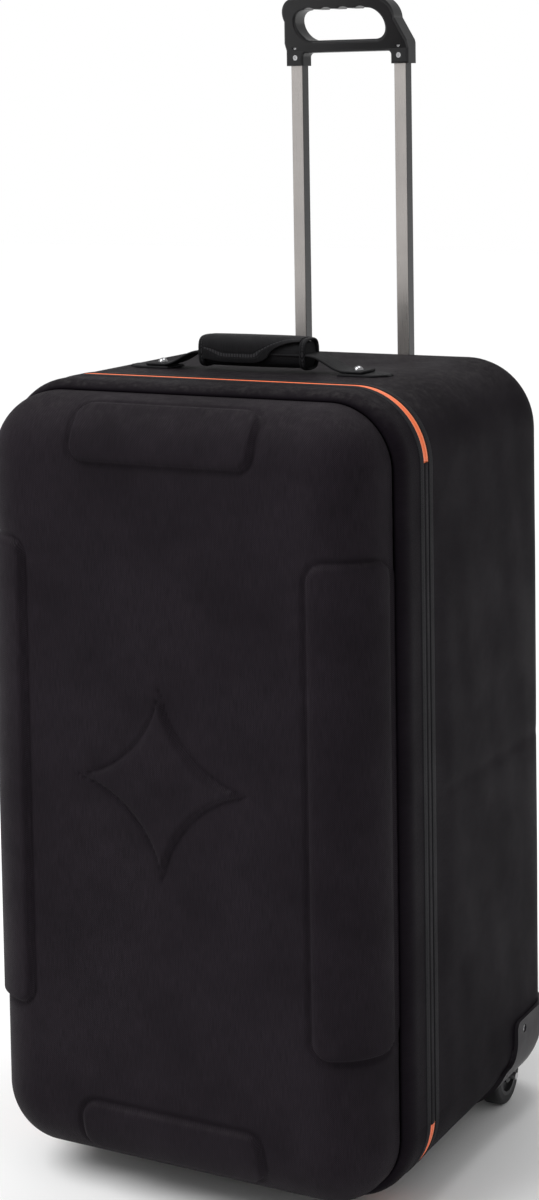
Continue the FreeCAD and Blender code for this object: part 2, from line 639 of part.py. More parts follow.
def tubePlug(side, sign):
    """The plastic shoe at a tube's foot, with a blind bore for its sprung detent pin."""
    low = "tubeLow - plugHigh"
    shoe = tubeBox("plugShoe" + side, sign, "tubeWide / 2 + plugGap / 2", "tubeDeep / 2 + plugGap / 2",
                   (low, "tubeLow"))
    spigot = tubeBox("plugSpigot" + side, sign, "tubeWide / 2 - tubeWall - 0.1",
                     "tubeDeep / 2 - tubeWall - 0.1", ("tubeLow", "tubeLow + plugSpigot"))
    level = "tubeLow - plugHigh / 2"
    centre = "tubeX" if sign > 0 else "-tubeX"
    bore = rod("plugBore" + side, (centre + (" + 4" if sign > 0 else " - 4"), "tubeAxis", level),
               "detentRadius + detentPlay", "tubeWide", (-sign, 0, 0))
    keep(side + "_plug", cut("plug" + side, fuse("plugAll" + side, shoe, spigot), bore))
    pin = rod("detent" + side, (centre, "tubeAxis", level), "detentRadius", "detentLong + 0.7",
              (-sign, 0, 0))
    keep(side + "_detent", rounded("detentSoft" + side, pin, "detentRound",
                                   innermostCircle if sign > 0 else outermostCircle))


def innermostCircle(edge, whole):
    """True for the edge at the low-x end."""
    return edge.XMax < whole.XMin + 0.01


def outermostCircle(edge, whole):
    """True for the edge at the high-x end."""
    return edge.XMin > whole.XMax - 0.01


# --- grip ------------------------------------------------------------------------------------

def gripSide(front, rear):
    """The grip's side view between two offsets from its mid line: upright, then leaning forward."""
    y = size("tubeAxis")
    low = size("gripLow")
    bend = size("crossLow") + 6
    lean = size("gripLean")
    rise = size("gripTop") - bend
    slope = math.hypot(lean, rise)
    ny, nz = rise / slope, lean / slope

    def offset(shift):
        kink = shift * math.tan(math.atan2(lean, rise) / 2)
        return [Vector(0, y + shift, low), Vector(0, y + shift, bend + kink),
                Vector(0, y - lean * 1.2 + shift * ny, bend + rise * 1.2 + shift * nz)]

    corners = offset(front) + offset(rear)[::-1]
    corners.append(corners[0])
    solid = Part.Face(Part.makePolygon(corners)).extrude(Vector(2 * size("gripHalf") + 20, 0, 0))
    solid.translate(Vector(-size("gripHalf") - 10, 0, 0))
    return solid


def gripOutline():
    """The grip's front view: two posts, a cross bar, a wide arch and finger waves under its top."""
    half = size("gripHalf")
    low = size("gripLow")
    top = size("gripTop")
    flat = size("topHalf")
    shoulder = size("crossLow") + 12
    turn = math.sqrt(0.5)
    bow = Vector(half - 8, 0, top - 26)
    right = [
        Part.LineSegment(Vector(-flat, 0, top), Vector(flat, 0, top)),
        Part.Arc(Vector(flat, 0, top), Vector(flat + 15, 0, top - 6), bow),
        Part.LineSegment(bow, Vector(half, 0, shoulder)),
        Part.LineSegment(Vector(half, 0, shoulder), Vector(half, 0, low)),
        Part.LineSegment(Vector(half, 0, low), Vector(-half, 0, low)),
        Part.LineSegment(Vector(-half, 0, low), Vector(-half, 0, shoulder)),
        Part.LineSegment(Vector(-half, 0, shoulder), Vector(-bow.x, 0, bow.z)),
        Part.Arc(Vector(-bow.x, 0, bow.z), Vector(-flat - 15, 0, top - 6), Vector(-flat, 0, top)),
    ]
    thick = Vector(0, 200, 0)
    solid = Part.Face(Part.Wire([piece.toShape() for piece in right])).extrude(thick)
    reach = half - size("socketWide")
    gap = Part.makeBox(2 * reach, 220, size("crossLow") - low + 10, Vector(-reach, -10, low - 10))
    gap = gap.makeFillet(5, [e for e in gap.Edges if e.BoundBox.YLength > 200
                             and e.BoundBox.ZMin > size("crossLow") - 1])
    floor = size("crossLow") + size("crossHigh")
    roof = top - size("topBar")
    hole = Part.makeBox(2 * reach, 220, roof - floor, Vector(-reach, -10, floor))
    upright = [e for e in hole.Edges if e.BoundBox.YLength > 200]
    hole = hole.makeFillet(0.49 * (roof - floor), upright)
    wave = size("waveRadius")
    waves = [Part.makeCylinder(wave, 220, Vector(x, -10, roof + size("waveDepth") - wave), Vector(0, 1, 0))
             for x in FINGERS]
    solid = solid.cut(gap.fuse(hole).fuse(waves))
    solid.translate(Vector(0, size("tubeAxis") - 150, 0))
    return solid


def gripHalves():
    """Front and rear mouldings that clamp the tubes, and the four screws through them."""
    outline = gripOutline()
    half = size("gripThick") / 2
    tubes = []
    for _, sign in SIDES:
        x = sign * size("tubeX") - size("tubeWide") / 2
        y = size("tubeAxis") - size("tubeDeep") / 2
        tubes.append(Part.makeBox(size("tubeWide"), size("tubeDeep"), size("tubeLong"),
                                  Vector(x, y, size("tubeLow"))))
    front = outline.common(gripSide(-half, 0))
    rear = outline.common(gripSide(0, half))
    bolts, holes = gripScrews()
    for label, solid, face in (("grip_front", front, -1), ("grip_rear", rear, 1)):
        smooth = solid.makeFillet(size("gripEdge"), gripRims(solid, face * half))
        keep(label, feature(label + "Half", smooth.cut(Part.makeCompound(tubes + holes))))
    keep("grip_screws", feature("gripScrews", Part.makeCompound(bolts)))


def gripRims(solid, shift):
    """The edges round the front or rear face of one half of the grip."""
    lean = size("gripLean")
    bend = size("crossLow") + 6
    rise = size("gripTop") - bend
    slope = math.hypot(lean, rise)
    y = size("tubeAxis")

    def onFace(point):
        upright = abs(point.y - y - shift) < 0.01
        leaning = ((point.y - y) * rise + (point.z - bend) * lean) / slope
        return upright or abs(leaning - shift) < 0.01

    ends = [edge for edge in solid.Edges
            if all(onFace(edge.valueAt(at)) for at in (edge.FirstParameter, edge.LastParameter))
            and onFace(edge.valueAt((edge.FirstParameter + edge.LastParameter) / 2))]
    return [edge for edge in ends if edge.BoundBox.XLength < 2 * size("gripHalf") - 40
            or abs(edge.Vertexes[0].Z - bend) > 12]


def gripScrews():
    """Four pan-head screws with cross slots, and the holes that they need."""
    radius = size("screwRadius")
    head = size("screwHead")
    front = size("tubeAxis") - size("gripThick") / 2
    bolts = []
    holes = []
    for _, sign in SIDES:
        for x, z in gripScrewPlaces(sign):
            at = Vector(value(x), front + 0.6, value(z))
            top = Part.makeCylinder(head, 2, at, Vector(0, 1, 0))
            shank = Part.makeCylinder(radius, 20, at, Vector(0, 1, 0))
            bolt = top.fuse(shank)
            for wide, high in ((3.6, 0.9), (0.9, 3.6)):
                corner = at - Vector(wide / 2, 1, high / 2)
                bolt = bolt.cut(Part.makeBox(wide, 2, high, corner))
            well = Part.makeCylinder(head, 3, at - Vector(0, 3, 0), Vector(0, 1, 0))
            bolts.append(bolt)
            holes.append(top.fuse([shank, well]))
    return bolts, holes


# --- wheels, housings and feet ---------------------------------------------------------------

def wheelHousings():
    """Corner mouldings: a guard round the outside of each corner with the wheel's well in it."""
    block = tub("cornerBlock", "0", "zipHalf", "bodyDepth", "backRadius")
    raised = tub("cornerRaised", "-guardRise", "zipHalf", "bodyDepth + guardRise",
                 "backRadius + guardRise")
    screws = []
    for side, sign in SIDES:
        outward = ("guardIn", "halfWidth + 20") if sign > 0 else ("-halfWidth - 20", "-guardIn")
        body = ("housingIn", "halfWidth + 20") if sign > 0 else ("-halfWidth - 20", "-housingIn")
        tall = box("guardTall" + side, outward, ("guardFront", "bodyDepth + 20"), ("-20", "guardHigh"))
        toe = box("guardToe" + side, outward, ("guardToe", "bodyDepth + 20"), ("-20", "guardStep"))
        outlineSolid = rounded("guardShape" + side, fuse("guardBoth" + side, tall, toe), "guardRound",
                               guardCorners)
        skin = cut("guardSkin" + side, common("guardRaised" + side, raised, outlineSolid), block)
        core = common("housingCore" + side, block,
                      box("housingBox" + side, body, ("housingFront", "bodyDepth + 20"),
                          ("-20", "housingHigh")))
        wellStart = sideX(sign, "wheelX", "wheelWide / 2 + wheelPlay / 2")
        well = rod("housingWell" + side, (wellStart, "wheelY", "wheelZ"),
                   "wheelRadius + wheelPlay", "wheelWide + wheelPlay", (1, 0, 0))
        bore = rod("housingBore" + side, (sideX(sign, "wheelX", "axleLong / 2"), "wheelY", "wheelZ"),
                   "axleRadius", "axleLong", (1, 0, 0))
        bolts, holes = guardScrews(side, sign)
        screws += bolts
        keep(side + "_wheel_housing", cut("housing" + side, fuse("housingAll" + side, skin, core),
                                          well, bore, *holes))
        for label in ("body_cover", "corner_foam", side + "_board", side + "_foam"):
            drill(label, holes[:1])
        keep(side + "_axle", rod("axle" + side, (sideX(sign, "wheelX", "axleLong / 2"), "wheelY", "wheelZ"),
                                 "axleRadius", "axleLong", (1, 0, 0)))
    keep("housing_screws", group("housingScrews", *screws))


def sideX(sign, place, back):
    """The low-x end of something centred at place on the side that sign gives."""
    return "%s - (%s)" % (place, back) if sign > 0 else "-%s - (%s)" % (place, back)


def guardCorners(edge, whole):
    """True for the guard outline's corners, which run along x."""
    front = edge.YMax < whole.YMin + 0.01 and edge.ZMin > whole.ZMax - 60
    step = edge.YMax < size("guardFront") + size("zipY") + 0.01 and edge.ZMin > whole.ZMin + 50
    return edge.YLength < 0.01 and edge.ZLength < 0.01 and (front or step)


def guardScrews(side, sign):
    """The slotted screw through the tall part of a guard, and its hole."""
    out = "halfWidth + guardRise"
    x = out + " - guardSink" if sign > 0 else "guardSink - (%s)" % out
    start = x + (" - guardBolt" if sign > 0 else "")
    headStart = x + (" - guardHead" if sign > 0 else "")
    y, z = "guardFront + boltIn", "guardHigh - boltDown"
    head = rod("guardHead" + side, (headStart, y, z), "boltHead + 0.5", "guardHead", (1, 0, 0))
    shank = rod("guardShank" + side, (start, y, z), "boltRadius", "guardBolt", (1, 0, 0))
    slot = box("guardSlot" + side, (x + " - 0.7", x + " + 0.7"), (y + " - 5", y + " + 5"),
               (z + " - 0.6", z + " + 0.6"))
    sink = rod("guardSink" + side, (x + (" - 0.1" if sign > 0 else " - 1.9"), y, z),
               "boltHead + 0.5", "2", (1, 0, 0))
    bolt = fuse("guardBolt" + side, head, shank)
    return [cut("guardBoltCut" + side, bolt, slot)], [bolt, sink]


def wheel(side, sign):
    """A rubber tyre on a spoked plastic hub."""
    tyre = newBody("tyreBody" + side)
    sketch = newSketch(tyre, "tyreRing" + side, "YZ_Plane", sideX(sign, "wheelX", "wheelWide / 2"))
    addCircle(sketch, "wheelY", "floorGap + wheelZ", "wheelRadius")
    addCircle(sketch, "wheelY", "floorGap + wheelZ", "hubRadius")
    pad = padSketch(tyre, sketch, "wheelWide", False)
    document.recompute()
    names = ["Edge%d" % n for n, edge in enumerate(pad.Shape.Edges, start=1)
             if abs(edge.BoundBox.ZLength - 2 * size("wheelRadius")) < 0.5
             and edge.BoundBox.XLength < 0.01]
    soft = tyre.newObject("PartDesign::Fillet", "tyreRound" + side)
    soft.Base = (pad, names)
    soft.Radius = size("tyreRound")
    keep(side + "_tyre", tyre)

    hub = newBody("hubBody" + side)
    sketch = newSketch(hub, "hubDisc" + side, "YZ_Plane", sideX(sign, "wheelX", "wheelWide / 2"))
    addCircle(sketch, "wheelY", "floorGap + wheelZ", "hubRadius")
    addCircle(sketch, "wheelY", "floorGap + wheelZ", "axleRadius + axlePlay")
    padSketch(hub, sketch, "wheelWide", False)
    for face, depth in (("in", "wheelWide / 2"), ("out", "-wheelWide / 2")):
        sunk = newSketch(hub, "hubSunk" + face + side, "YZ_Plane", "%s + %s" % (
            "wheelX" if sign > 0 else "-wheelX", depth))
        addCircle(sunk, "wheelY", "floorGap + wheelZ", "hubRadius - hubRim")
        addCircle(sunk, "wheelY", "floorGap + wheelZ", "axleRadius + hubBoss")
        pocket = hub.newObject("PartDesign::Pocket", "hubPocket" + face + side)
        pocket.Profile = sunk
        pocket.Length = size("hubSink")
        pocket.Reversed = face == "out"
    keep(side + "_hub", hub)


def feet():
    """Two block feet at the front edge, with rubbed-down corners and a flat sole."""
    for side, sign in SIDES:
        centre = "footX" if sign > 0 else "-footX"
        foot = box("footBlock" + side, (centre + " - footLong / 2", centre + " + footLong / 2"),
                   ("footY - footWide / 2", "footY + footWide / 2"), ("-floorGap", "0"))
        upright = rounded("footUpright" + side, foot, "footRound", longEdges)
        keep(side + "_foot", rounded("footSoft" + side, upright, "soleRound", soleEdges))


def soleEdges(edge, whole):
    """True for the edges round the lowest face."""
    return edge.ZMax < whole.ZMin + 0.01


# --- carry handle ----------------------------------------------------------------------------

def handleStrap():
    """Webbing that lies flat on both tabs and rises between them to run level through the wrap."""
    wide = size("strapWide")
    y = size("handleY") - wide / 2
    thick = Vector(0, 0, size("strapThick"))
    low = size("caseHeight") + size("tabThick") + size("strapLift")
    level = size("caseHeight") + size("wrapLift") + (size("wrapHigh") - size("strapThick")) / 2
    end = Vector(size("strapEnd"), y, low)
    leaves = size("strapEnd") - size("strapFlat")
    meets = size("wrapHalf")
    pull = 0.4 * (leaves - meets)
    fall = [Vector(meets, y, level), Vector(meets + pull, y, level),
            Vector(leaves - pull, y, low), Vector(leaves, y, low)]
    rise = [Vector(-pole.x, y, pole.z) for pole in fall[::-1]]
    start = Vector(-end.x, y, low)

    def line(one, two):
        return Part.LineSegment(one, two).toShape()

    def bezier(poles):
        curve = Part.BezierCurve()
        curve.setPoles(poles)
        return curve.toShape()

    def upper(poles):
        return [pole + thick for pole in poles[::-1]]

    edges = [line(start, rise[0]), bezier(rise), line(rise[-1], fall[0]), bezier(fall),
             line(fall[-1], end), line(end, end + thick), line(end + thick, fall[-1] + thick),
             bezier(upper(fall)), line(fall[0] + thick, rise[-1] + thick), bezier(upper(rise)),
             line(rise[0] + thick, start + thick), line(start + thick, start)]
    solid = Part.Face(Part.Wire(edges)).extrude(Vector(0, wide, 0))
    keep("handle_strap", feature("handleStrap", solid))


def handleWrap():
    """The padded sleeve closed round the webbing."""
    half = "wrapHalf"
    y = ("handleY - wrapWide / 2", "handleY + wrapWide / 2")
    low = "caseHeight + wrapLift"
    block = box("wrapBlock", ("-" + half, half), y, (low, low + " + wrapHigh"))
    soft = rounded("wrapSoft", block, "wrapRound", alongX)
    middle = low + " + wrapHigh / 2"
    slot = box("wrapSlot", ("-wrapHalf - 1", "wrapHalf + 1"),
               ("handleY - strapWide / 2", "handleY + strapWide / 2"),
               (middle + " - strapThick / 2", middle + " + strapThick / 2"))
    keep("handle_wrap", cut("handleWrap", soft, slot))


def alongX(edge, whole):
    """True for the edges as long as the whole along x."""
    return edge.XLength > whole.XLength - 0.01


def handleTabs():
    """Pointed fabric anchors on the top, each with a domed rivet through the webbing."""
    middle = size("handleY")
    rivets = []
    for side, sign in SIDES:
        wide = size("tabWide") / 2
        z = size("caseHeight") + size("tabLift")
        near, tip = sign * size("tabIn"), sign * size("tabOut")
        shoulder = tip - sign * size("tabTip")
        corners = [Vector(near, middle - wide, z), Vector(shoulder, middle - wide, z),
                   Vector(tip, middle - wide * 0.35, z), Vector(tip, middle + wide * 0.35, z),
                   Vector(shoulder, middle + wide, z), Vector(near, middle + wide, z)]
        plate = Part.Face(Part.makePolygon(corners + corners[:1])).extrude(Vector(0, 0, size("tabThick")))
        keep(side + "_handle_tab", feature("handleTab" + side, plate))
        radius = size("rivetRadius")
        top = size("caseHeight") + size("tabThick") + size("strapLift") + size("strapThick")
        x = sign * size("rivetX")
        dome = Part.makeSphere(radius, Vector(x, middle, top - size("rivetSink")))
        above = Part.makeBox(2 * radius, 2 * radius, radius,
                             Vector(x - radius, middle - radius, top + size("tabLift")))
        rivets.append(dome.common(above))
    keep("handle_rivets", feature("handleRivets", Part.makeCompound(rivets)))


# --- hand over -------------------------------------------------------------------------------

def build():
    """Model every sub-part."""
    fillSheet()
    bodyCover()
    flatBoards()
    backLayers()
    cornerFoam("corner_foam", size("boardFront"), size("cavityBack"),
               wheelCorners("cornerFoamCorner", "layerGap"))
    cradle("lower_cradle", "lowerCradle")
    cradle("upper_cradle", "upperCradle")
    rimWire("body_rim_wire", 1)
    rimWire("lid_rim_wire", -1)
    zipHalf("body_zip", 1)
    zipHalf("lid_zip", -1)
    hingeStrip()
    zipSlider("upper_slider", "upper_pull", "upperSlider")
    zipSlider("lower_slider", "lower_pull", "lowerSlider")
    lidShell()
    lidGusset()
    lidBoards()
    cornerFoam("lid_corner_foam", size("boardEdge") - size("gussetDepth"), -size("boardFront"), [])
    lidFoam()
    for side, sign in SIDES:
        guide(side, sign)
        innerTube(side, sign)
        tubePlug(side, sign)
        wheel(side, sign)
    trolleyFixed()
    gripHalves()
    wheelHousings()
    feet()
    handleStrap()
    handleWrap()
    handleTabs()


def check():
    """Stop if any object failed or any sub-part is empty, invalid or doubly named."""
    document.recompute()
    for item in document.Objects:
        if "Invalid" in item.State or "Error" in item.State:
            raise RuntimeError("%s is %s" % (item.Label, item.State))
    for item in nodes:
        if item.Shape.isNull() or not item.Shape.isValid() or item.Shape.Volume <= 0:
            raise RuntimeError("%s has no sound shape" % item.Label)
    labels = [item.Label for item in nodes]
    if len(set(labels)) != len(labels) or len(labels) > 60:
        raise RuntimeError("sub-part names clash, or there are too many")


def export():
    """Write each sub-part's solid to its own file."""
    os.makedirs("parts", exist_ok=True)
    for item in nodes:
        item.Shape.exportStep("parts/%s.step" % item.Label)
        box_ = item.Shape.BoundBox
        print("%-22s %9.1f mm3  x %.1f..%.1f  y %.1f..%.1f  z %.1f..%.1f" % (
            item.Label, item.Shape.Volume, box_.XMin, box_.XMax, box_.YMin, box_.YMax,
            box_.ZMin, box_.ZMax))
    print(len(nodes), "sub-parts")


build()
check()
export()
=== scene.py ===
import math

import bmesh
import bpy
import numpy as np
from mathutils import Matrix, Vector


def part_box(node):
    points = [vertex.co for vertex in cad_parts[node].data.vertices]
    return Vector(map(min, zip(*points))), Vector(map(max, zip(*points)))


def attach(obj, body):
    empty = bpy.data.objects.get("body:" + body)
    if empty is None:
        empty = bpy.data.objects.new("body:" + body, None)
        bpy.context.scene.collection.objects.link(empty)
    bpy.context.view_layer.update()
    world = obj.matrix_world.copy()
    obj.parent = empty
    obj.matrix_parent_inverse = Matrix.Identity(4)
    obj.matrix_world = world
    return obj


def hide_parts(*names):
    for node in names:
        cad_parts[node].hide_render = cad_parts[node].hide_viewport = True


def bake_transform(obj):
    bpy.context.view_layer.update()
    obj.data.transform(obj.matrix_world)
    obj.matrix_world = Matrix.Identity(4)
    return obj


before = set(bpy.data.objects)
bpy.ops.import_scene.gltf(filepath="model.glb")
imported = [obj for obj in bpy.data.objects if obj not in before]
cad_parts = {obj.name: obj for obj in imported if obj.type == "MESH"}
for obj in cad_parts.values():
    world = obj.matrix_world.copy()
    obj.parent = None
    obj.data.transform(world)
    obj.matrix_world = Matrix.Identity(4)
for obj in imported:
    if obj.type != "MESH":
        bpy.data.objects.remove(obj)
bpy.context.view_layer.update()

print("frame loaded")


# a node's box as its low and high corners, in millimetres
def boxOf(node):
    return [np.array(corner) * 1000 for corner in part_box(node)]


# the shell's own measures, in millimetres
coverLow, coverHigh = boxOf("body_cover")
zipPlane = (boxOf("body_zip")[0][1] + boxOf("lid_zip")[1][1]) / 2
padRise = 4.0
shell = {
    "halfWidth": (coverHigh[0] - coverLow[0]) / 2,
    "height": coverHigh[2] - coverLow[2],
    "bodyDepth": coverHigh[1] - zipPlane,
    "lidSideDepth": zipPlane - boxOf("lid_gusset")[0][1],
    "lidDepth": zipPlane - boxOf("lid_shell")[0][1] - padRise,
    "floorGap": coverLow[2],
    "cornerRadius": 78.0,
    "backRadius": 44.0,
    "domeInset": 10.5,
    "domeRadius": 62.0,
    "zipLow": 73.0,
    "zipHigh": 765.0,
}
print("shell", {name: round(float(value), 2) for name, value in shell.items()})


# millimetres from the middle of the zip's plane and the shell's underside, to metres in the frame
def place(x, y, z):
    x, y, z = np.broadcast_arrays(x, y, z)
    return np.stack([x, y + zipPlane, z + shell["floorGap"]], -1) / 1000


# 0 below low, 1 above high, and 3t^2 - 2t^3 between them
def ease(value, low, high):
    t = np.clip((value - low) / (high - low), 0, 1)
    return t * t * (3 - 2 * t)


def smoothShade(mesh):
    mesh.polygons.foreach_set("use_smooth", np.ones(len(mesh.polygons), bool))
    mesh.update()


# one mesh from grids of points: each cell of a grid is a four-sided face with its own UVs in metres
def surface(name, grids, centre=None, solid=False, weld=0.00002):
    coords, faces, uvs, count = [], [], [], 0
    for points, uv in grids:
        rows, columns = points.shape[:2]
        index = count + np.arange(rows * columns).reshape(rows, columns)
        count += rows * columns
        corners = [index[:-1, :-1], index[1:, :-1], index[1:, 1:], index[:-1, 1:]]
        faces.append(np.stack(corners, -1).reshape(-1, 4))
        flat = [uv[:-1, :-1], uv[1:, :-1], uv[1:, 1:], uv[:-1, 1:]]
        uvs.append(np.stack(flat, -2).reshape(-1, 2))
        coords.append(points.reshape(-1, 3))
    coords, faces, uvs = np.concatenate(coords), np.concatenate(faces), np.concatenate(uvs)
    mesh = bpy.data.meshes.new(name)
    mesh.from_pydata(coords.tolist(), [], faces.tolist())
    layer = mesh.uv_layers.new(name="cloth")
    layer.uv.foreach_set("vector", uvs.astype(np.float32).ravel())
    tidy = bmesh.new()
    tidy.from_mesh(mesh)
    bmesh.ops.remove_doubles(tidy, verts=tidy.verts, dist=weld)
    bmesh.ops.recalc_face_normals(tidy, faces=tidy.faces)
    if solid:
        turned = tidy.calc_volume(signed=True) < 0
    else:
        middle = coords.mean(0) if centre is None else np.array(centre)
        at = np.array([face.calc_center_median() for face in tidy.faces])
        out = np.array([face.normal * face.calc_area() for face in tidy.faces])
        turned = ((at - middle) * out).sum() < 0
    if turned:
        bmesh.ops.reverse_faces(tidy, faces=tidy.faces)
    tidy.to_mesh(mesh)
    tidy.free()
    smoothShade(mesh)
    piece = bpy.data.objects.new(name, mesh)
    bpy.context.scene.collection.objects.link(piece)
    return piece


# running length along the last axis of a line of points, in metres, from points in millimetres
def running(*axes):
    steps = np.sqrt(sum(np.diff(axis) ** 2 for axis in axes))
    return np.concatenate([[0.0], np.cumsum(steps)]) / 1000


# adds a wall of that thickness on the inner side
def thicken(piece, thickness):
    wall = piece.modifiers.new("wall", "SOLIDIFY")
    wall.thickness = thickness / 1000
    wall.offset = -1
    return piece


def finishPiece(piece, body, slot, material, *nodes):
    piece.data.materials.clear()
    piece.data.materials.append(material)
    if body:
        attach(piece, body)
    if nodes:
        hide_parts(*nodes)
    return piece


# a rounded rectangle seen from the front, as a table of its points against the length run along it,
# from the foot of the right side upwards; out is how far a point stands outside the outline
outlineCounts = {"side": 230, "end": 110, "corner": 28}


def outlineTable(perCorner):
    half, high, radius = shell["halfWidth"], shell["height"], shell["cornerRadius"]
    centres = [(half - radius, high - radius), (radius - half, high - radius),
               (radius - half, radius), (half - radius, radius)]
    x, z, nx, nz = [half], [radius], [1.0], [0.0]
    for quarter, (cx, cz) in enumerate(centres):
        turn = math.pi / 2 * quarter + np.linspace(0, math.pi / 2, perCorner + 1)
        x = np.append(x, cx + radius * np.cos(turn))
        z = np.append(z, cz + radius * np.sin(turn))
        nx = np.append(nx, np.cos(turn))
        nz = np.append(nz, np.sin(turn))
    length = running(x, z) * 1000
    return length, x, z, nx, nz


outline = outlineTable(64)
outlineLength = outline[0][-1]
sideLength = shell["height"] - 2 * shell["cornerRadius"]
endLength = 2 * (shell["halfWidth"] - shell["cornerRadius"])
quarterLength = (outlineLength - 2 * sideLength - 2 * endLength) / 4


# lengths along the outline with a point at each end of every corner
def outlineStops(side, end, corner):
    parts, start = [0.0], 0.0
    half = [(sideLength, side), (quarterLength, corner), (endLength, end), (quarterLength, corner)]
    for run, count in half + half:
        parts = np.append(parts, start + run * np.arange(1, count + 1) / count)
        start += run
    return parts


# x, z and outward direction at lengths along the outline
def onOutline(length):
    length = np.mod(length, outlineLength + 1e-9)
    return [np.interp(length, outline[0], column) for column in outline[1:]]


# fans that close both ends of a tube of points
def caps(points, uv):
    middle = np.broadcast_to(points.mean(1, keepdims=True), points.shape)
    return [(np.stack([points[row], middle[row]]), np.stack([uv[row], uv[row]])) for row in (0, -1)]


# four strips that join the edges of two grids of one shape
def rims(first, second):
    edges = (lambda grid: grid[0], lambda grid: grid[-1], lambda grid: grid[:, 0], lambda grid: grid[:, -1])
    return [tuple(np.stack([pick(a), pick(b)]) for a, b in zip(first, second)) for pick in edges]


# a profile of (y, out) carried along the outline between two lengths
def band(profile, stops, closedProfile=False, lift=None):
    profile = np.array(profile, float)
    if closedProfile:
        profile = np.vstack([profile, profile[:1]])
    x, z, nx, nz = (column[:, None] for column in onOutline(stops))
    y, out = profile[:, 0][None, :], profile[:, 1][None, :]
    if lift is not None:
        out = out + lift(stops[:, None], y)
    points = place(x + nx * out, y + 0 * x, z + nz * out)
    across = running(profile[:, 0], profile[:, 1])
    uv = np.stack(np.broadcast_arrays(stops[:, None] / 1000, across[None, :]), -1)
    return points, uv


fullRing = outlineStops(60, 36, 18)
zipStart = shell["zipHigh"] - shell["cornerRadius"]
zipEnd = outlineLength - (shell["cornerRadius"] - shell["zipLow"])
print("outline", round(outlineLength))


# a node group from its inputs' usual values, where None means a vector, and its outputs' names
def newGroup(name, inputs, *outputs):
    group = bpy.data.node_groups.new(name, "ShaderNodeTree")
    for label, value in inputs.items():
        kind = "NodeSocketVector" if value is None else "NodeSocketFloat"
        socket = group.interface.new_socket(name=label, in_out="INPUT", socket_type=kind)
        if value is not None:
            socket.default_value = value
    for label in outputs:
        group.interface.new_socket(name=label, in_out="OUTPUT", socket_type="NodeSocketFloat")
    return group, group.nodes.new("NodeGroupInput").outputs


# joins a group's results to its outputs
def endGroup(group, **results):
    end = group.nodes.new("NodeGroupOutput")
    for label, value in results.items():
        group.links.new(value, end.inputs[label])
    return group


def mathNode(tree, operation, *values):
    node = tree.nodes.new("ShaderNodeMath")
    node.operation = operation
    for slotNumber, value in enumerate(values):
        if isinstance(value, (int, float)):
            node.inputs[slotNumber].default_value = value
        else:
            tree.links.new(value, node.inputs[slotNumber])
    return node.outputs[0]


def times(tree, *values):
    return mathNode(tree, "MULTIPLY", *values)


def plus(tree, *values):
    return mathNode(tree, "ADD", *values)


def noiseNode(tree, vector, scale, detail=3.0, rough=0.5):
    node = tree.nodes.new("ShaderNodeTexNoise")
    node.inputs["Detail"].default_value = detail
    node.inputs["Roughness"].default_value = rough
    if isinstance(scale, (int, float)):
        node.inputs["Scale"].default_value = scale
    else:
        tree.links.new(scale, node.inputs["Scale"])
    tree.links.new(vector, node.inputs["Vector"])
    return node.outputs["Fac"]


def rangeNode(tree, value, fromLow, fromHigh, toLow=0.0, toHigh=1.0):
    node = tree.nodes.new("ShaderNodeMapRange")
    node.interpolation_type = "SMOOTHSTEP"
    limits = {"From Min": fromLow, "From Max": fromHigh, "To Min": toLow, "To Max": toHigh}
    for label, number in limits.items():
        node.inputs[label].default_value = number
    tree.links.new(value, node.inputs["Value"])
    return node.outputs["Result"]


def mixColour(tree, factor, first, second):
    node = tree.nodes.new("ShaderNodeMix")
    node.data_type = "RGBA"
    for label, value in (("Factor", factor), ("A", first), ("B", second)):
        socket = node.inputs[label]
        if isinstance(value, tuple):
            socket.default_value = (*value, 1.0)
        elif isinstance(value, (int, float)):
            socket.default_value = value
        else:
            tree.links.new(value, socket)
    return node.outputs["Result"]


# a vector scaled unevenly, so that noise on it is drawn out into streaks
def stretchVector(tree, vector, scale, rotation=(0.0, 0.0, 0.0)):
    node = tree.nodes.new("ShaderNodeMapping")
    node.inputs["Scale"].default_value = scale
    node.inputs["Rotation"].default_value = rotation
    tree.links.new(vector, node.inputs["Vector"])
    return node.outputs[0]


def splitVector(tree, vector):
    node = tree.nodes.new("ShaderNodeSeparateXYZ")
    tree.links.new(vector, node.inputs[0])
    return node.outputs


# plain weave: threads cross over and under, height is sine of one direction times sine of the other
def buildWeave():
    group, start = newGroup("plainWeave", {"Vector": None, "Pitch": 0.0018}, "Height", "Gap")
    x, y, _ = splitVector(group, start["Vector"])
    turns = mathNode(group, "DIVIDE", 2 * math.pi, start["Pitch"])
    across = mathNode(group, "SINE", times(group, x, turns))
    along = mathNode(group, "SINE", times(group, y, turns))
    crossing = times(group, across, along)
    height = plus(group, times(group, crossing, 0.5), 0.5)
    return endGroup(group, Height=height, Gap=rangeNode(group, height, 0.0, 0.35, 1.0, 0.0))


# slow unevenness of cloth: broad cloudy patches and thin thread-to-thread streaks
def buildMottle():
    group, start = newGroup("clothMottle", {"Vector": None, "Streak": 900.0}, "Patch", "Thread")
    patch = noiseNode(group, start["Vector"], 9.0, 4.0, 0.6)
    streaks = stretchVector(group, start["Vector"], (1.0, 0.06, 1.0))
    thread = noiseNode(group, streaks, start["Streak"], 2.0, 0.7)
    return endGroup(group, Patch=patch, Thread=thread)


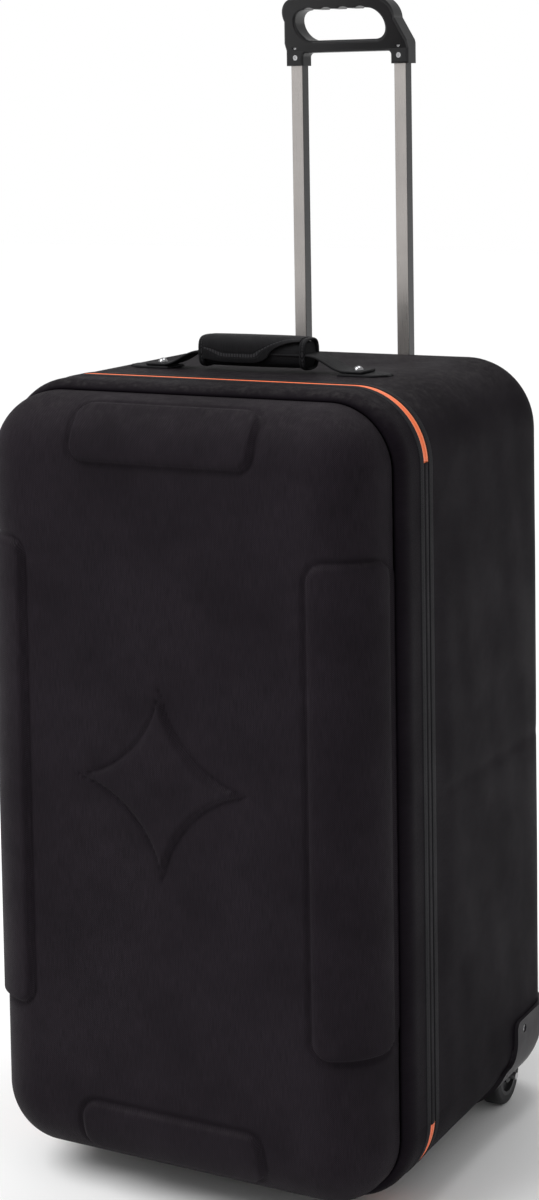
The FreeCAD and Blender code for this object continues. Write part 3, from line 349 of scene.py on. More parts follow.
# a row of stitches: dashes of the given pitch along one value, within a width of a line on the other
def buildStitch():
    group, start = newGroup("stitchRow", {"Along": 0.0, "Across": 0.0, "Line": 0.0, "Pitch": 0.0042,
                                          "Width": 0.0009}, "Mask", "Height")
    turn = mathNode(group, "FRACT", mathNode(group, "DIVIDE", start["Along"], start["Pitch"]))
    centred = mathNode(group, "ABSOLUTE", mathNode(group, "SUBTRACT", turn, 0.5))
    dash = rangeNode(group, centred, 0.30, 0.40, 1.0, 0.0)
    away = mathNode(group, "ABSOLUTE", mathNode(group, "SUBTRACT", start["Across"], start["Line"]))
    near = mathNode(group, "DIVIDE", away, start["Width"])
    thread = rangeNode(group, near, 0.45, 1.0, 1.0, 0.0)
    mask = times(group, dash, thread)
    groove = rangeNode(group, near, 0.6, 1.9, 1.0, 0.0)
    sunk = mathNode(group, "SUBTRACT", times(group, mask, 1.4), groove)
    return endGroup(group, Mask=mask, Height=sunk)


# moulded grain: fine pebbles with slow patches under them
def buildGrain():
    group, start = newGroup("mouldGrain", {"Vector": None, "Scale": 900.0}, "Height", "Patch")
    cells = group.nodes.new("ShaderNodeTexVoronoi")
    cells.feature = "SMOOTH_F1"
    group.links.new(start["Vector"], cells.inputs["Vector"])
    group.links.new(start["Scale"], cells.inputs["Scale"])
    fine = noiseNode(group, start["Vector"], start["Scale"], 2.0)
    height = plus(group, times(group, cells.outputs["Distance"], 0.6), fine)
    return endGroup(group, Height=height, Patch=noiseNode(group, start["Vector"], 14.0, 5.0, 0.6))


# scuffs: thin scratched lines and rubbed spots where noise passes a threshold
def buildScuff():
    group, start = newGroup("rubbedScuff", {"Vector": None, "Amount": 0.3}, "Mask")
    streaks = stretchVector(group, start["Vector"], (1.0, 1.0, 0.12), (0.3, 0.2, 0.5))
    lines = rangeNode(group, noiseNode(group, streaks, 260.0, 4.0, 0.7), 0.60, 0.72)
    spots = rangeNode(group, noiseNode(group, start["Vector"], 30.0, 6.0, 0.7), 0.52, 0.75)
    both = times(group, times(group, lines, spots), start["Amount"])
    return endGroup(group, Mask=both)


# dust and painted top light: lightens faces that look up, broken by noise; on the shell cloth it mostly
# paints the top lighter than the sides
def buildDustAndTopLight():
    group, start = newGroup("settledDustAndTopLight", {"Vector": None, "Amount": 0.2}, "Mask")
    geometry = group.nodes.new("ShaderNodeNewGeometry")
    _, _, up = splitVector(group, geometry.outputs["Normal"])
    level = rangeNode(group, up, 0.35, 1.0)
    speck = rangeNode(group, noiseNode(group, start["Vector"], 120.0, 5.0, 0.75), 0.42, 0.75, 0.15, 1.0)
    both = times(group, times(group, level, speck), start["Amount"])
    return endGroup(group, Mask=both)


# drawn metal: streaks along z
def buildDrawn():
    group, start = newGroup("drawnMetal", {"Vector": None}, "Streak", "Patch")
    streaks = stretchVector(group, start["Vector"], (1.0, 1.0, 0.01))
    return endGroup(group, Streak=noiseNode(group, streaks, 1600.0, 3.0, 0.7),
                    Patch=noiseNode(group, start["Vector"], 12.0, 4.0, 0.6))


effects = {"weave": buildWeave(), "mottle": buildMottle(), "stitch": buildStitch(), "grain": buildGrain(),
           "scuff": buildScuff(), "dustAndTopLight": buildDustAndTopLight(), "drawn": buildDrawn()}


def useGroup(tree, name, **values):
    node = tree.nodes.new("ShaderNodeGroup")
    node.node_tree = effects[name]
    for label, value in values.items():
        if isinstance(value, (int, float)):
            node.inputs[label].default_value = value
        else:
            tree.links.new(value, node.inputs[label])
    return node.outputs


def newMaterial(name, settings=()):
    material = bpy.data.materials.new(name)
    material.use_nodes = True
    shader = material.node_tree.nodes["Principled BSDF"]
    for label, value in dict(settings).items():
        shader.inputs[label].default_value = value
    return material, material.node_tree, shader


# joins colour, roughness and a bump of a height to a material's shader
def endMaterial(material, shader, colour, roughness, height, strength, distance):
    links = material.node_tree.links
    bump = material.node_tree.nodes.new("ShaderNodeBump")
    bump.inputs["Strength"].default_value = strength
    bump.inputs["Distance"].default_value = distance
    links.new(height, bump.inputs["Height"])
    ends = {"Base Color": colour, "Roughness": roughness, "Normal": bump.outputs["Normal"]}
    for label, value in ends.items():
        links.new(value, shader.inputs[label])
    return material


def objectPlace(tree):
    return tree.nodes.new("ShaderNodeTexCoord").outputs["Object"]


def clothPlace(tree):
    node = tree.nodes.new("ShaderNodeUVMap")
    node.uv_map = "cloth"
    return node.outputs["UV"]


def shade(colour, factor):
    return tuple(channel * factor for channel in colour)


# noise lies mostly from 0.3 to 0.7, and that span is carried to low and high
def vary(tree, noise, low=0.0, high=1.0):
    return rangeNode(tree, noise, 0.3, 0.7, low, high)


# woven cloth: dark thread colour, painted lighter where threads rise and painted darker in the gaps as light
# and shade of the weave, with streaks of real thread-to-thread tone; rougher in the gaps
def clothMaterial(name, deep, high, pitch=0.0018, rough=0.5, bump=0.35, sheen=0.01, gloss=0.035, rows=(),
                  thread=None, dustAndTopLight=0.05, source=clothPlace):
    material, tree, shader = newMaterial(name, {"Sheen Weight": sheen, "Sheen Roughness": 0.45,
                                                "Specular IOR Level": gloss})
    at = source(tree)
    weave = useGroup(tree, "weave", Vector=at, Pitch=pitch)
    mottle = useGroup(tree, "mottle", Vector=at)
    # painted light and shade of the weave: colour runs from deep in the gaps to high on the raised threads,
    # scaled by real thread streaks
    tone = times(tree, weave["Height"], vary(tree, mottle["Thread"], 0.6, 1.2))
    colour = mixColour(tree, tone, deep, high)
    patch = rangeNode(tree, mottle["Patch"], 0.35, 0.7, 0.0, 0.35)
    colour = mixColour(tree, patch, colour, deep)
    height = weave["Height"]
    if rows:
        along, across, _ = splitVector(tree, at)
        for line, stitchPitch in rows:
            row = useGroup(tree, "stitch", Along=along, Across=across, Line=line, Pitch=stitchPitch)
            colour = mixColour(tree, row["Mask"], colour, thread)
            height = plus(tree, height, times(tree, row["Height"], 2.2))
    # dust with painted top light: faces that look up are lightened, and on the shell this paints the top
    # brighter than its sides
    dustAndTopLightMask = useGroup(tree, "dustAndTopLight", Vector=objectPlace(tree), Amount=dustAndTopLight)
    colour = mixColour(tree, dustAndTopLightMask["Mask"], colour, (0.25, 0.24, 0.23))
    roughness = plus(tree, rangeNode(tree, weave["Gap"], 0.0, 1.0, rough, rough + 0.2),
                     vary(tree, mottle["Patch"], -0.05, 0.05))
    return endMaterial(material, shader, colour, roughness, height, bump, 0.0005)


# moulded plastic: even colour with slow patches, fine grain, rubbed scuffs and a little dust
def plasticMaterial(name, colour, worn, rough=0.42, scale=900.0, bump=0.12, scuff=0.35, dustAndTopLight=0.06, spec=0.3):
    material, tree, shader = newMaterial(name, {"Specular IOR Level": spec})
    at = objectPlace(tree)
    grain = useGroup(tree, "grain", Vector=at, Scale=scale)
    rub = useGroup(tree, "scuff", Vector=at, Amount=scuff)["Mask"]
    dustAndTopLightMask = useGroup(tree, "dustAndTopLight", Vector=at, Amount=dustAndTopLight)
    base = mixColour(tree, vary(tree, grain["Patch"], 0.0, 0.5), colour, shade(colour, 0.8))
    base = mixColour(tree, rub, base, worn)
    base = mixColour(tree, dustAndTopLightMask["Mask"], base, (0.28, 0.27, 0.26))
    glossy = plus(tree, vary(tree, grain["Patch"], rough - 0.05, rough + 0.08), times(tree, rub, 0.3))
    return endMaterial(material, shader, base, glossy, grain["Height"], bump, 0.0003)


# metal: drawn streaks change its roughness, scuffs dull it
def metalMaterial(name, colour, rough=0.3, spread=0.12, dull=0.2):
    material, tree, shader = newMaterial(name, {"Metallic": 1.0})
    at = objectPlace(tree)
    drawn = useGroup(tree, "drawn", Vector=at)
    rub = useGroup(tree, "scuff", Vector=at, Amount=dull)["Mask"]
    base = mixColour(tree, vary(tree, drawn["Patch"], 0.0, 0.4), colour, shade(colour, 0.82))
    base = mixColour(tree, rub, base, shade(colour, 0.5))
    streak = vary(tree, drawn["Streak"], rough - spread / 2, rough + spread / 2)
    roughness = plus(tree, streak, times(tree, rub, 0.3))
    return endMaterial(material, shader, base, roughness, drawn["Streak"], 0.05, 0.0001)


# the telescoping tubes: satin silver and metallic on faces that look to the front, black on the rest, chosen
# by which way a face looks: painted light on the front and painted shade on the sides
def tubeMaterial():
    material, tree, shader = newMaterial("tubeFinish")
    at = objectPlace(tree)
    drawn = useGroup(tree, "drawn", Vector=at)
    rub = useGroup(tree, "scuff", Vector=at, Amount=0.25)["Mask"]
    geometry = tree.nodes.new("ShaderNodeNewGeometry")
    _, facing, _ = splitVector(tree, geometry.outputs["Normal"])
    # painted light and shade: faces that look to the front get the silver, all other faces get the black
    front = rangeNode(tree, facing, -0.85, -0.6, 1.0, 0.0)
    silver = mixColour(tree, vary(tree, drawn["Patch"], 0.0, 0.5), (0.50, 0.47, 0.45), (0.36, 0.34, 0.33))
    base = mixColour(tree, front, (0.012, 0.012, 0.013), silver)
    base = mixColour(tree, rub, base, (0.16, 0.16, 0.16))
    tree.links.new(times(tree, front, 0.9), shader.inputs["Metallic"])
    streak = vary(tree, drawn["Streak"], 0.26, 0.36)
    return endMaterial(material, shader, base, streak, drawn["Streak"], 0.05, 0.0001)


# coated zip tape: orange, with painted shade in the ridge's groove and a painted highlight along the turned
# edge, fine ribs across
def zipMaterial():
    material, tree, shader = newMaterial("orangeTape", {"Specular IOR Level": 0.6, "Coat Weight": 0.25,
                                                        "Coat Roughness": 0.3})
    at = clothPlace(tree)
    along, across, _ = splitVector(tree, at)
    ribs = mathNode(tree, "SINE", times(tree, along, 2 * math.pi / 0.0016))
    ribs = plus(tree, times(tree, ribs, 0.5), 0.5)
    mottle = useGroup(tree, "mottle", Vector=at)
    colour = mixColour(tree, vary(tree, mottle["Patch"]), (1.0, 0.185, 0.040), (0.88, 0.140, 0.030))
    # painted shade: darker down the tape's turned-in wall at the middle gap
    centre = rangeNode(tree, across, 0.0012, 0.0024, 1.0, 0.0)
    colour = mixColour(tree, times(tree, centre, 0.75), colour, (0.42, 0.050, 0.018))
    # painted highlight: a lighter peach line along the turned edge
    edge = rangeNode(tree, across, 0.0058, 0.0068, 0.0, 0.45)
    colour = mixColour(tree, edge, colour, (0.95, 0.34, 0.16))
    colour = mixColour(tree, times(tree, ribs, 0.18), colour, (0.4, 0.05, 0.01))
    return endMaterial(material, shader, colour, vary(tree, mottle["Thread"], 0.3, 0.46), ribs, 0.3, 0.0003)


# brushed foam lining: short fibres, soft and matt
def foamMaterial():
    material, tree, shader = newMaterial("brushedFoam", {"Sheen Weight": 0.3, "Sheen Roughness": 0.6,
                                                         "Specular IOR Level": 0.2})
    at = objectPlace(tree)
    fibre = noiseNode(tree, at, 700.0, 5.0, 0.75)
    patch = noiseNode(tree, at, 18.0, 4.0, 0.6)
    colour = mixColour(tree, vary(tree, fibre), (0.030, 0.030, 0.033), (0.085, 0.085, 0.09))
    colour = mixColour(tree, rangeNode(tree, patch, 0.4, 0.7, 0.0, 0.35), colour, (0.035, 0.035, 0.038))
    return endMaterial(material, shader, colour, vary(tree, fibre, 0.85, 0.98), fibre, 0.4, 0.0008)


finish = {
    # the shell's dark base with a larger dust amount paints its top lighter than its sides: painted top light
    "shell": clothMaterial("shellCloth", (0.0018, 0.0012, 0.0020), (0.0120, 0.0088, 0.0130), rough=0.55,
                           sheen=0.004, gloss=0.03, dustAndTopLight=0.09),
    "panel": clothMaterial("panelCloth", (0.0036, 0.0028, 0.0038), (0.0260, 0.0205, 0.0265), pitch=0.0021,
                           rough=0.54, bump=0.5),
    "binding": clothMaterial("bindingCloth", (0.006, 0.0058, 0.007), (0.022, 0.021, 0.024), pitch=0.0012,
                             rows=((0.0085, 0.0034),), thread=(0.035, 0.033, 0.037)),
    "hinge": clothMaterial("hingeCloth", (0.006, 0.0058, 0.0065), (0.024, 0.022, 0.026), pitch=0.0014),
    "webbing": clothMaterial("webbing", (0.006, 0.006, 0.0065), (0.022, 0.022, 0.024), pitch=0.0024, bump=0.8,
                             rows=((0.004, 0.0034), (0.030, 0.0034)), thread=(0.03, 0.03, 0.032)),
    "sleeve": clothMaterial("sleeveCloth", (0.006, 0.006, 0.0065), (0.021, 0.021, 0.023), pitch=0.0013,
                            source=objectPlace),
    "flap": clothMaterial("flapCloth", (0.006, 0.006, 0.0065), (0.021, 0.021, 0.023), pitch=0.0013,
                          rough=0.48, rows=((0.006, 0.0034),), thread=(0.04, 0.04, 0.043)),
    "foam": foamMaterial(),
    "zip": zipMaterial(),
    "tube": tubeMaterial(),
    "grip": plasticMaterial("gripPlastic", (0.010, 0.010, 0.011), (0.06, 0.06, 0.062), rough=0.33, bump=0.08),
    "black": plasticMaterial("blackPlastic", (0.012, 0.012, 0.013), (0.07, 0.07, 0.072), rough=0.45),
    "guard": plasticMaterial("guardPlastic", (0.019, 0.016, 0.020), (0.07, 0.066, 0.072), scale=600.0,
                             dustAndTopLight=0.03, spec=0.25),
    "board": plasticMaterial("boardPlastic", (0.028, 0.028, 0.031), (0.09, 0.09, 0.095), rough=0.55,
                             scale=400.0),
    "tyre": plasticMaterial("tyreRubber", (0.014, 0.014, 0.015), (0.05, 0.05, 0.05), rough=0.62, scale=500.0,
                            bump=0.25, dustAndTopLight=0.35),
    "hub": plasticMaterial("hubPlastic", (0.024, 0.024, 0.026), (0.09, 0.09, 0.09), rough=0.45),
    "enamel": plasticMaterial("blackEnamel", (0.010, 0.010, 0.011), (0.25, 0.25, 0.25), rough=0.22, bump=0.03,
                              scuff=0.6, dustAndTopLight=0.05),
    "steel": metalMaterial("platedSteel", (0.52, 0.52, 0.53), rough=0.32),
    "guide": metalMaterial("guideAluminium", (0.34, 0.34, 0.35), rough=0.42),
    "bright": metalMaterial("polishedMetal", (0.36, 0.36, 0.37), rough=0.22, spread=0.05, dull=0.1),
}
nodeFinish = {
    "board": ["left_board", "right_board", "top_board", "bottom_board", "back_board", "lid_boards"],
    "steel": ["body_rim_wire", "lid_rim_wire", "left_detent", "right_detent", "left_axle", "right_axle",
              "trolley_screws", "grip_screws", "housing_screws"],
    "enamel": ["upper_slider", "lower_slider", "upper_pull", "lower_pull"],
    "black": ["left_plug", "right_plug", "left_foot", "right_foot", "trolley_panel", "trolley_bracket",
              "trolley_bezel"],
    "guide": ["left_guide", "right_guide"], "tube": ["left_tube", "right_tube"],
    "tyre": ["left_tyre", "right_tyre"], "hub": ["left_hub", "right_hub"],
    "guard": ["left_wheel_housing", "right_wheel_housing"], "grip": ["grip_front", "grip_rear"],
    "bright": ["handle_rivets"],
}
for kind, labels in nodeFinish.items():
    for label in labels:
        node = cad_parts[label]
        if not node.material_slots:
            node.data.materials.append(finish[kind])
        for holder in node.material_slots:
            holder.material = finish[kind]
print("materials made")

tub = {
    "start": 5.2, "rows": 34, "turnRows": 10, "cornerRows": 3, "puff": 2.4, "seamZ": 415.0, "seamDepth": 1.5,
    "seamWidth": 2.4, "side": 96, "end": 56, "corner": 18, "wellX": 175.0, "wellY": 226.0, "wellZ": 64.0,
    "slotX": 95.0, "slotY": 316.0, "slotZ": 301.0, "wall": 1.4, "rippleHeight": 0.5,
}


# over how far a side's swell rises and falls, its margin from the top and foot, and its ripples' lengths
swell = {"rise": 45, "fall": 60, "margin": 70, "waves": ((37.0, 29.0), (91.0, 17.0))}


# how far the side cloth stands out: one soft swell above the mid seam and one below it, none near the
# zip, the corners and the back, with the seam sunk between them and slow ripples of a few tenths
def sideSwell(length, y, settings, near, far):
    x, z, nx, _ = onOutline(length)
    sideways = np.abs(nx) ** 4
    across = ease(np.abs(y), near, near + swell["rise"]) * (1 - ease(np.abs(y), far - swell["fall"], far))
    seam, margin = settings["seamZ"], swell["margin"]
    reach = np.where(z > seam, (z - seam) / (shell["height"] - margin - seam), (seam - z) / (seam - margin))
    tall = np.sin(np.pi * np.clip(reach, 0, 1) ** 0.6) ** 0.8
    sunk = settings["seamDepth"] * np.exp(-((z - seam) / settings["seamWidth"]) ** 2)
    sunk = sunk * ease(np.abs(y), near - 3, near + 8) * (1 - ease(np.abs(y), far - swell["fall"] / 2, far))
    (tallShort, deepShort), (tallLong, deepLong) = swell["waves"]
    ripple = np.sin(z / tallShort + np.abs(y) / deepShort) * np.sin(z / tallLong - np.abs(y) / deepLong)
    return sideways * (across * tall * settings["puff"] - sunk + across * settings["rippleHeight"] * ripple)


# how far the first two rings of a side cloth stand out, where it is turned in beside the zip
hem = [-1.2, -0.2]


# rings of the outline going back, then round a quarter circle on to the flat back
def buildTub():
    depth, radius, corner = shell["bodyDepth"], shell["backRadius"], shell["cornerRadius"]
    turn = np.linspace(0, math.pi / 2, tub["turnRows"] + 1)[1:]
    straight = np.linspace(tub["start"], depth - radius, tub["rows"])
    inset = np.linspace(radius, corner, tub["cornerRows"] + 1)[1:]
    y = np.concatenate([[tub["start"], tub["start"]], straight[1:], depth - radius + radius * np.sin(turn),
                        np.full(len(inset), depth)])
    out = np.concatenate([hem, 0 * straight[1:], radius * np.cos(turn) - radius, -inset])
    stops = outlineStops(tub["side"], tub["end"], tub["corner"])
    rings = band(np.stack([y, out], 1), stops,
                 lift=lambda length, back: sideSwell(length, back, tub, 14, depth - radius + 30))
    half, high = shell["halfWidth"] - corner, shell["height"] - corner
    x, z = np.meshgrid(np.linspace(-half, half, tub["end"] + 1), np.linspace(corner, high, tub["side"] + 1))
    flat = place(x, depth, z), np.stack([x, z], -1) / 1000
    return rings, flat


tubCover = surface("tubCover", buildTub(), centre=place(0, 150, 420))
wells = bmesh.new()
wells.from_mesh(tubCover.data)
middles = np.array([face.calc_center_median() for face in wells.faces]) * 1000
inWell = (np.abs(middles[:, 0]) > tub["wellX"]) & (middles[:, 1] - zipPlane > tub["wellY"])
inWell &= middles[:, 2] - shell["floorGap"] < tub["wellZ"]
inSlot = (np.abs(middles[:, 0]) < tub["slotX"]) & (middles[:, 1] - zipPlane > tub["slotY"])
inSlot &= middles[:, 2] - shell["floorGap"] > tub["slotZ"]
wells.faces.ensure_lookup_table()
bmesh.ops.delete(wells, geom=[wells.faces[k] for k in np.flatnonzero(inWell | inSlot)], context="FACES")
wells.to_mesh(tubCover.data)
wells.free()
thicken(tubCover, tub["wall"])
finishPiece(tubCover, "case", "shell_fabric", finish["shell"], "body_cover")
print("body cover", len(tubCover.data.polygons))

lidSideWay = {
    "start": 5.2, "rows": 14, "roll": 19.0, "turnRows": 8, "puff": 0.8, "seamZ": 417.0, "seamDepth": 1.2,
    "seamWidth": 2.2, "rippleHeight": 0.25, "wall": 1.4, "tuck": 0.6, "tuckDeep": 1.6, "tuckIn": 2.2,
}


def buildLidSide():
    way = lidSideWay
    deep, inset = shell["lidSideDepth"], shell["domeInset"] - way["tuck"]
    turn = np.linspace(0, math.pi / 2, way["turnRows"] + 1)[1:]
    straight = np.linspace(way["start"], deep - way["roll"], way["rows"])[1:]
    y = -np.concatenate([[way["start"]] * 2, straight, deep - way["roll"] + way["roll"] * np.sin(turn),
                         [deep - way["tuckDeep"]]])
    out = np.concatenate([hem, 0 * straight, inset * (np.cos(turn) - 1), [-inset - way["tuckIn"]]])
    stops = outlineStops(96, 56, 18)
    return [band(np.stack([y, out], 1), stops,
                 lift=lambda length, front: sideSwell(length, front, lidSideWay, 12, deep + 10))]


lidSide = thicken(surface("lidSide", buildLidSide(), centre=place(0, -30, 420)), lidSideWay["wall"])
finishPiece(lidSide, "lid", "shell_fabric", finish["shell"], "lid_gusset")

panelWay = {
    "side": outlineCounts["side"], "end": outlineCounts["end"], "corner": outlineCounts["corner"],
    "turnRows": 30, "rise": 4.8, "edge": 5.0, "groove": 3.2, "grooveAt": 0.8, "grooveWidth": 2.6,
    "crown": 2.5, "crownEdge": 40.0, "crownTall": 2.1, "round": 20.0,
    # low x, high x, low z, high z of the raised pads, as seen from the front
    "pads": [(-108, 108, 765, 823), (-108, 108, 32, 87), (165, 227, 177, 680), (-227, -165, 177, 680)],
    "starAt": (-2.0, 437.0), "starReach": 104.0, "starPower": 0.62, "starRise": 4.4,
    "starTop": 0.86, "starGroove": 2.6, "starEdge": 1.03, "starWidth": 0.03,
}


# length along the dome from the edge of the flat front, taken off the flat edge's inset: where a point
# that is inset that far would lie if the panel were rolled out flat
def rolledOut(inset):
    flat = shell["domeInset"] + shell["domeRadius"]
    turn = np.arccos(np.clip(1 - (inset - shell["domeInset"]) / shell["domeRadius"], -1, 1))
    return np.where(inset < flat, flat - shell["domeRadius"] * (math.pi / 2 - turn), inset)


# height of the panel's relief at rolled-out s, t: each pad is a rounded rectangle with a soft shoulder
# and a narrow groove round it, and the star is where |s|^p + |t|^p is below one
def relief(s, t):
    half, high = shell["halfWidth"], shell["height"]
    height = np.zeros_like(s)
    for lowX, highX, lowZ, highZ in panelWay["pads"]:
        left, right = -half + rolledOut(np.array(half + lowX)), half - rolledOut(np.array(half - highX))
        low, top = rolledOut(np.array(float(lowZ))), high - rolledOut(np.array(high - highZ))
        corner = panelWay["round"]
        dx = np.abs(s - (left + right) / 2) - (right - left) / 2 + corner
        dz = np.abs(t - (low + top) / 2) - (top - low) / 2 + corner
        away = np.hypot(np.maximum(dx, 0), np.maximum(dz, 0)) + np.minimum(np.maximum(dx, dz), 0) - corner
        height += panelWay["rise"] * (1 - ease(away, -panelWay["edge"], 0))
        height -= panelWay["groove"] * np.exp(-((away - panelWay["grooveAt"]) / panelWay["grooveWidth"]) ** 2)
    sx = np.abs(s - panelWay["starAt"][0]) / panelWay["starReach"]
    sz = np.abs(t - panelWay["starAt"][1]) / panelWay["starReach"]
    reach = (sx ** panelWay["starPower"] + sz ** panelWay["starPower"]) ** (1 / panelWay["starPower"])
    height += panelWay["starRise"] * (1 - ease(reach, panelWay["starTop"], 1))
    height -= panelWay["starGroove"] * np.exp(-((reach - panelWay["starEdge"]) / panelWay["starWidth"]) ** 2)
    return height


# the moulded front: a quarter-circle dome from the rim on to the flat front, with the relief along the normal
def buildPanel():
    start, radius, corner = shell["domeInset"], shell["domeRadius"], shell["cornerRadius"]
    depth, deep = shell["lidDepth"], shell["lidSideDepth"]
    turn = np.linspace(0, math.pi / 2, panelWay["turnRows"] + 1)
    rimY, rimOut = [-deep + 2.4, -deep - 0.6, -deep - 3.2], [-start - 2.6, -start - 1.5, -start]
    y = np.concatenate([rimY, -(depth - radius) - radius * np.sin(turn), [-depth, -depth]])
    inset = np.concatenate([-np.array(rimOut), start + radius * (1 - np.cos(turn)), [corner - 3, corner]])
    facing = np.concatenate([[0, 0, 0], turn, [math.pi / 2] * 2])
    straight = np.concatenate([[1.0, 0.8, 0.4], np.zeros(len(turn) + 2)]) * (depth - radius - deep)
    rolled = rolledOut(inset) - straight
    stops = outlineStops(panelWay["side"], panelWay["end"], panelWay["corner"])
    x, z, nx, nz = (column[:, None] for column in onOutline(stops))
    s = x - nx * rolled
    t = z - nz * rolled
    up = relief(s, t) + crown(s, t)
    out = -inset + up * np.cos(facing)
    points = place(x + nx * out, y - up * np.sin(facing), z + nz * out)
    half, high = shell["halfWidth"] - corner, shell["height"] - corner
    across = np.linspace(-half, half, panelWay["end"] + 1)
    along = np.linspace(corner, high, panelWay["side"] + 1)
    flatS, flatT = np.meshgrid(across, along)
    flat = place(flatS, -depth - relief(flatS, flatT) - crown(flatS, flatT), flatT)
    return (points, np.stack([s, t], -1) / 1000), (flat, np.stack([flatS, flatT], -1) / 1000)


# the front bows out a little: one minus the squares of the distances from its middle
def crown(s, t):
    across = np.clip(1 - (s / (shell["halfWidth"] - panelWay["crownEdge"])) ** 2, 0, 1)
    along = np.clip(1 - ((t / shell["height"] - 0.5) * panelWay["crownTall"]) ** 2, 0, 1)
    return panelWay["crown"] * across * along


lidPanel = surface("lidPanel", buildPanel(), centre=place(0, -20, 420))
finishPiece(lidPanel, "lid", "panel_fabric", finish["panel"], "lid_shell")
print("lid", len(lidPanel.data.polygons))

# a bound edge: a flattened roll of cloth that stands a little proud of the shell on each side of the zip
bindingWay = {"near": 5.6, "far": 15.5, "proud": 0.75, "sunk": 1.5}


def bindingProfile(side):
    near, far, proud, sunk = (bindingWay[key] for key in ("near", "far", "proud", "sunk"))
    turn = np.linspace(math.pi / 2, 3 * math.pi / 2, 7)
    middle, radius = (proud - sunk) / 2, (proud + sunk) / 2
    roll = [(near + radius + radius * math.cos(a), middle + radius * math.sin(a)) for a in turn]
    tail = [(far, -sunk), (far + 0.6, -0.5), (far, 0.3), (far - 1.2, 0.6), (far - 3, 0.55), (near + 4.5, 0.7)]
    return [(side * y, out) for y, out in roll + tail]


for label, side, body in (("bodyBinding", 1, "case"), ("lidBinding", -1, "lid")):
    piece = surface(label, [band(bindingProfile(side), fullRing, closedProfile=True)], solid=True)
    finishPiece(piece, body, "web_fabric", finish["binding"])

zipWay = {"lift": 1.3, "gap": 0.3, "edge": 5.8, "tapeWide": 16.0, "stops": 420}


# half a zip: the tape turns down at the middle, its coil is under the turn, and the rest lies inside
def zipProfile(side):
    gap, edge, wide = zipWay["gap"], zipWay["edge"], zipWay["tapeWide"]
    points = [(gap, -4.6), (gap, -2.6), (gap + 0.15, -1.7), (gap + 0.7, -1.1), (gap + 1.6, -1.0),
              (gap + 2.6, -1.35), (gap + 3.4, -1.4), (edge - 0.8, -1.3), (edge + 0.2, -1.45),
              (edge + 0.9, -1.75), (wide, -1.75), (wide, -2.4), (gap + 3.4, -2.4), (gap + 3.2, -4.0),
              (gap + 2.4, -4.6)]
    return [(side * y, out) for y, out in points]


zipStops = np.linspace(zipStart, zipEnd, zipWay["stops"])


# the tape's face stands higher on the top, foot and corners than on the left side, where the sliders run
def zipLift(length, y):
    _, _, nx, _ = onOutline(length)
    face = 1 - ease(np.abs(y), 6.0, 6.6)
    return zipWay["lift"] * (1 - ease(-nx, 0.75, 1.0)) * face


def closedBand(profile, stops, lift=None):
    points, uv = band(profile, stops, closedProfile=True, lift=lift)
    return [(points, uv)] + caps(points, uv)


for label, side, body, node in (("bodyZipTape", 1, "case", "body_zip"), ("lidZipTape", -1, "lid", "lid_zip")):
    piece = surface(label, closedBand(zipProfile(side), zipStops, zipLift), solid=True, weld=0.000002)
    finishPiece(piece, body, "orange_tape", finish["zip"], node)

hingeWay = {"half": 5.3, "rise": 0.9, "thick": 0.8, "stops": 150, "turnedIn": 2.4}


# the hinge cloth: a shallow arch between its two turned-in edges, from the foot of the zip to its top
def buildHinge():
    half, rise, thick = hingeWay["half"], hingeWay["rise"], hingeWay["thick"]
    y = np.linspace(-half, half, 15)
    top = rise - hingeWay["turnedIn"] * np.abs(y / half) ** 5
    profile = np.concatenate([np.stack([y, top], 1), np.stack([y[::-1], top[::-1] - thick], 1)])
    stops = np.concatenate([[zipEnd], outlineLength + np.linspace(0, zipStart, hingeWay["stops"])])
    return closedBand(profile, stops)


hingeCloth = surface("hingeCloth", buildHinge(), solid=True, weld=0.000002)
finishPiece(hingeCloth, None, "web_fabric", finish["hinge"], "hinge_strip")
print("bindings and zip")

hingeStart = place(shell["halfWidth"], hingeWay["half"], 420).tolist()
hingeEnd = place(shell["halfWidth"], -hingeWay["half"], 420).tolist()
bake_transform(hingeCloth)

sleeveLow, sleeveHigh = boxOf("handle_wrap")
strapLow, strapHigh = boxOf("handle_strap")
tabLow, tabHigh = boxOf("right_handle_tab")
handle = {
    "middleY": (sleeveLow[1] + sleeveHigh[1]) / 2, "middleZ": (sleeveLow[2] + sleeveHigh[2]) / 2,
    "halfWide": (sleeveHigh[1] - sleeveLow[1]) / 2, "halfHigh": (sleeveHigh[2] - sleeveLow[2]) / 2,
    "halfLong": sleeveHigh[0], "power": 3.2, "voxel": 0.0045, "pressure": 4.0, "cap": 0.003,
    "flapFrom": 0.9, "flapTo": -0.38, "flapProud": 1.4, "flapThick": 1.8, "flapHalf": sleeveHigh[0] - 7,
    "strapFlat": 20.0, "strapPull": 0.4, "strapThick": 3.0, "strapEdge": (0.22, 0.6),
}


def signedPower(value, power):
    return np.sign(value) * np.abs(value) ** power


# a rounded square section: y and z are signed powers of cosine and sine
def sleeveSection(turn, wide, high):
    power = 2 / handle["power"]
    return signedPower(np.cos(turn), power) * wide, signedPower(np.sin(turn), power) * high


# millimetres in the frame itself, to metres
def inFrame(x, y, z):
    x, y, z = np.broadcast_arrays(x, y, z)
    return np.stack([x, y, z], -1) / 1000


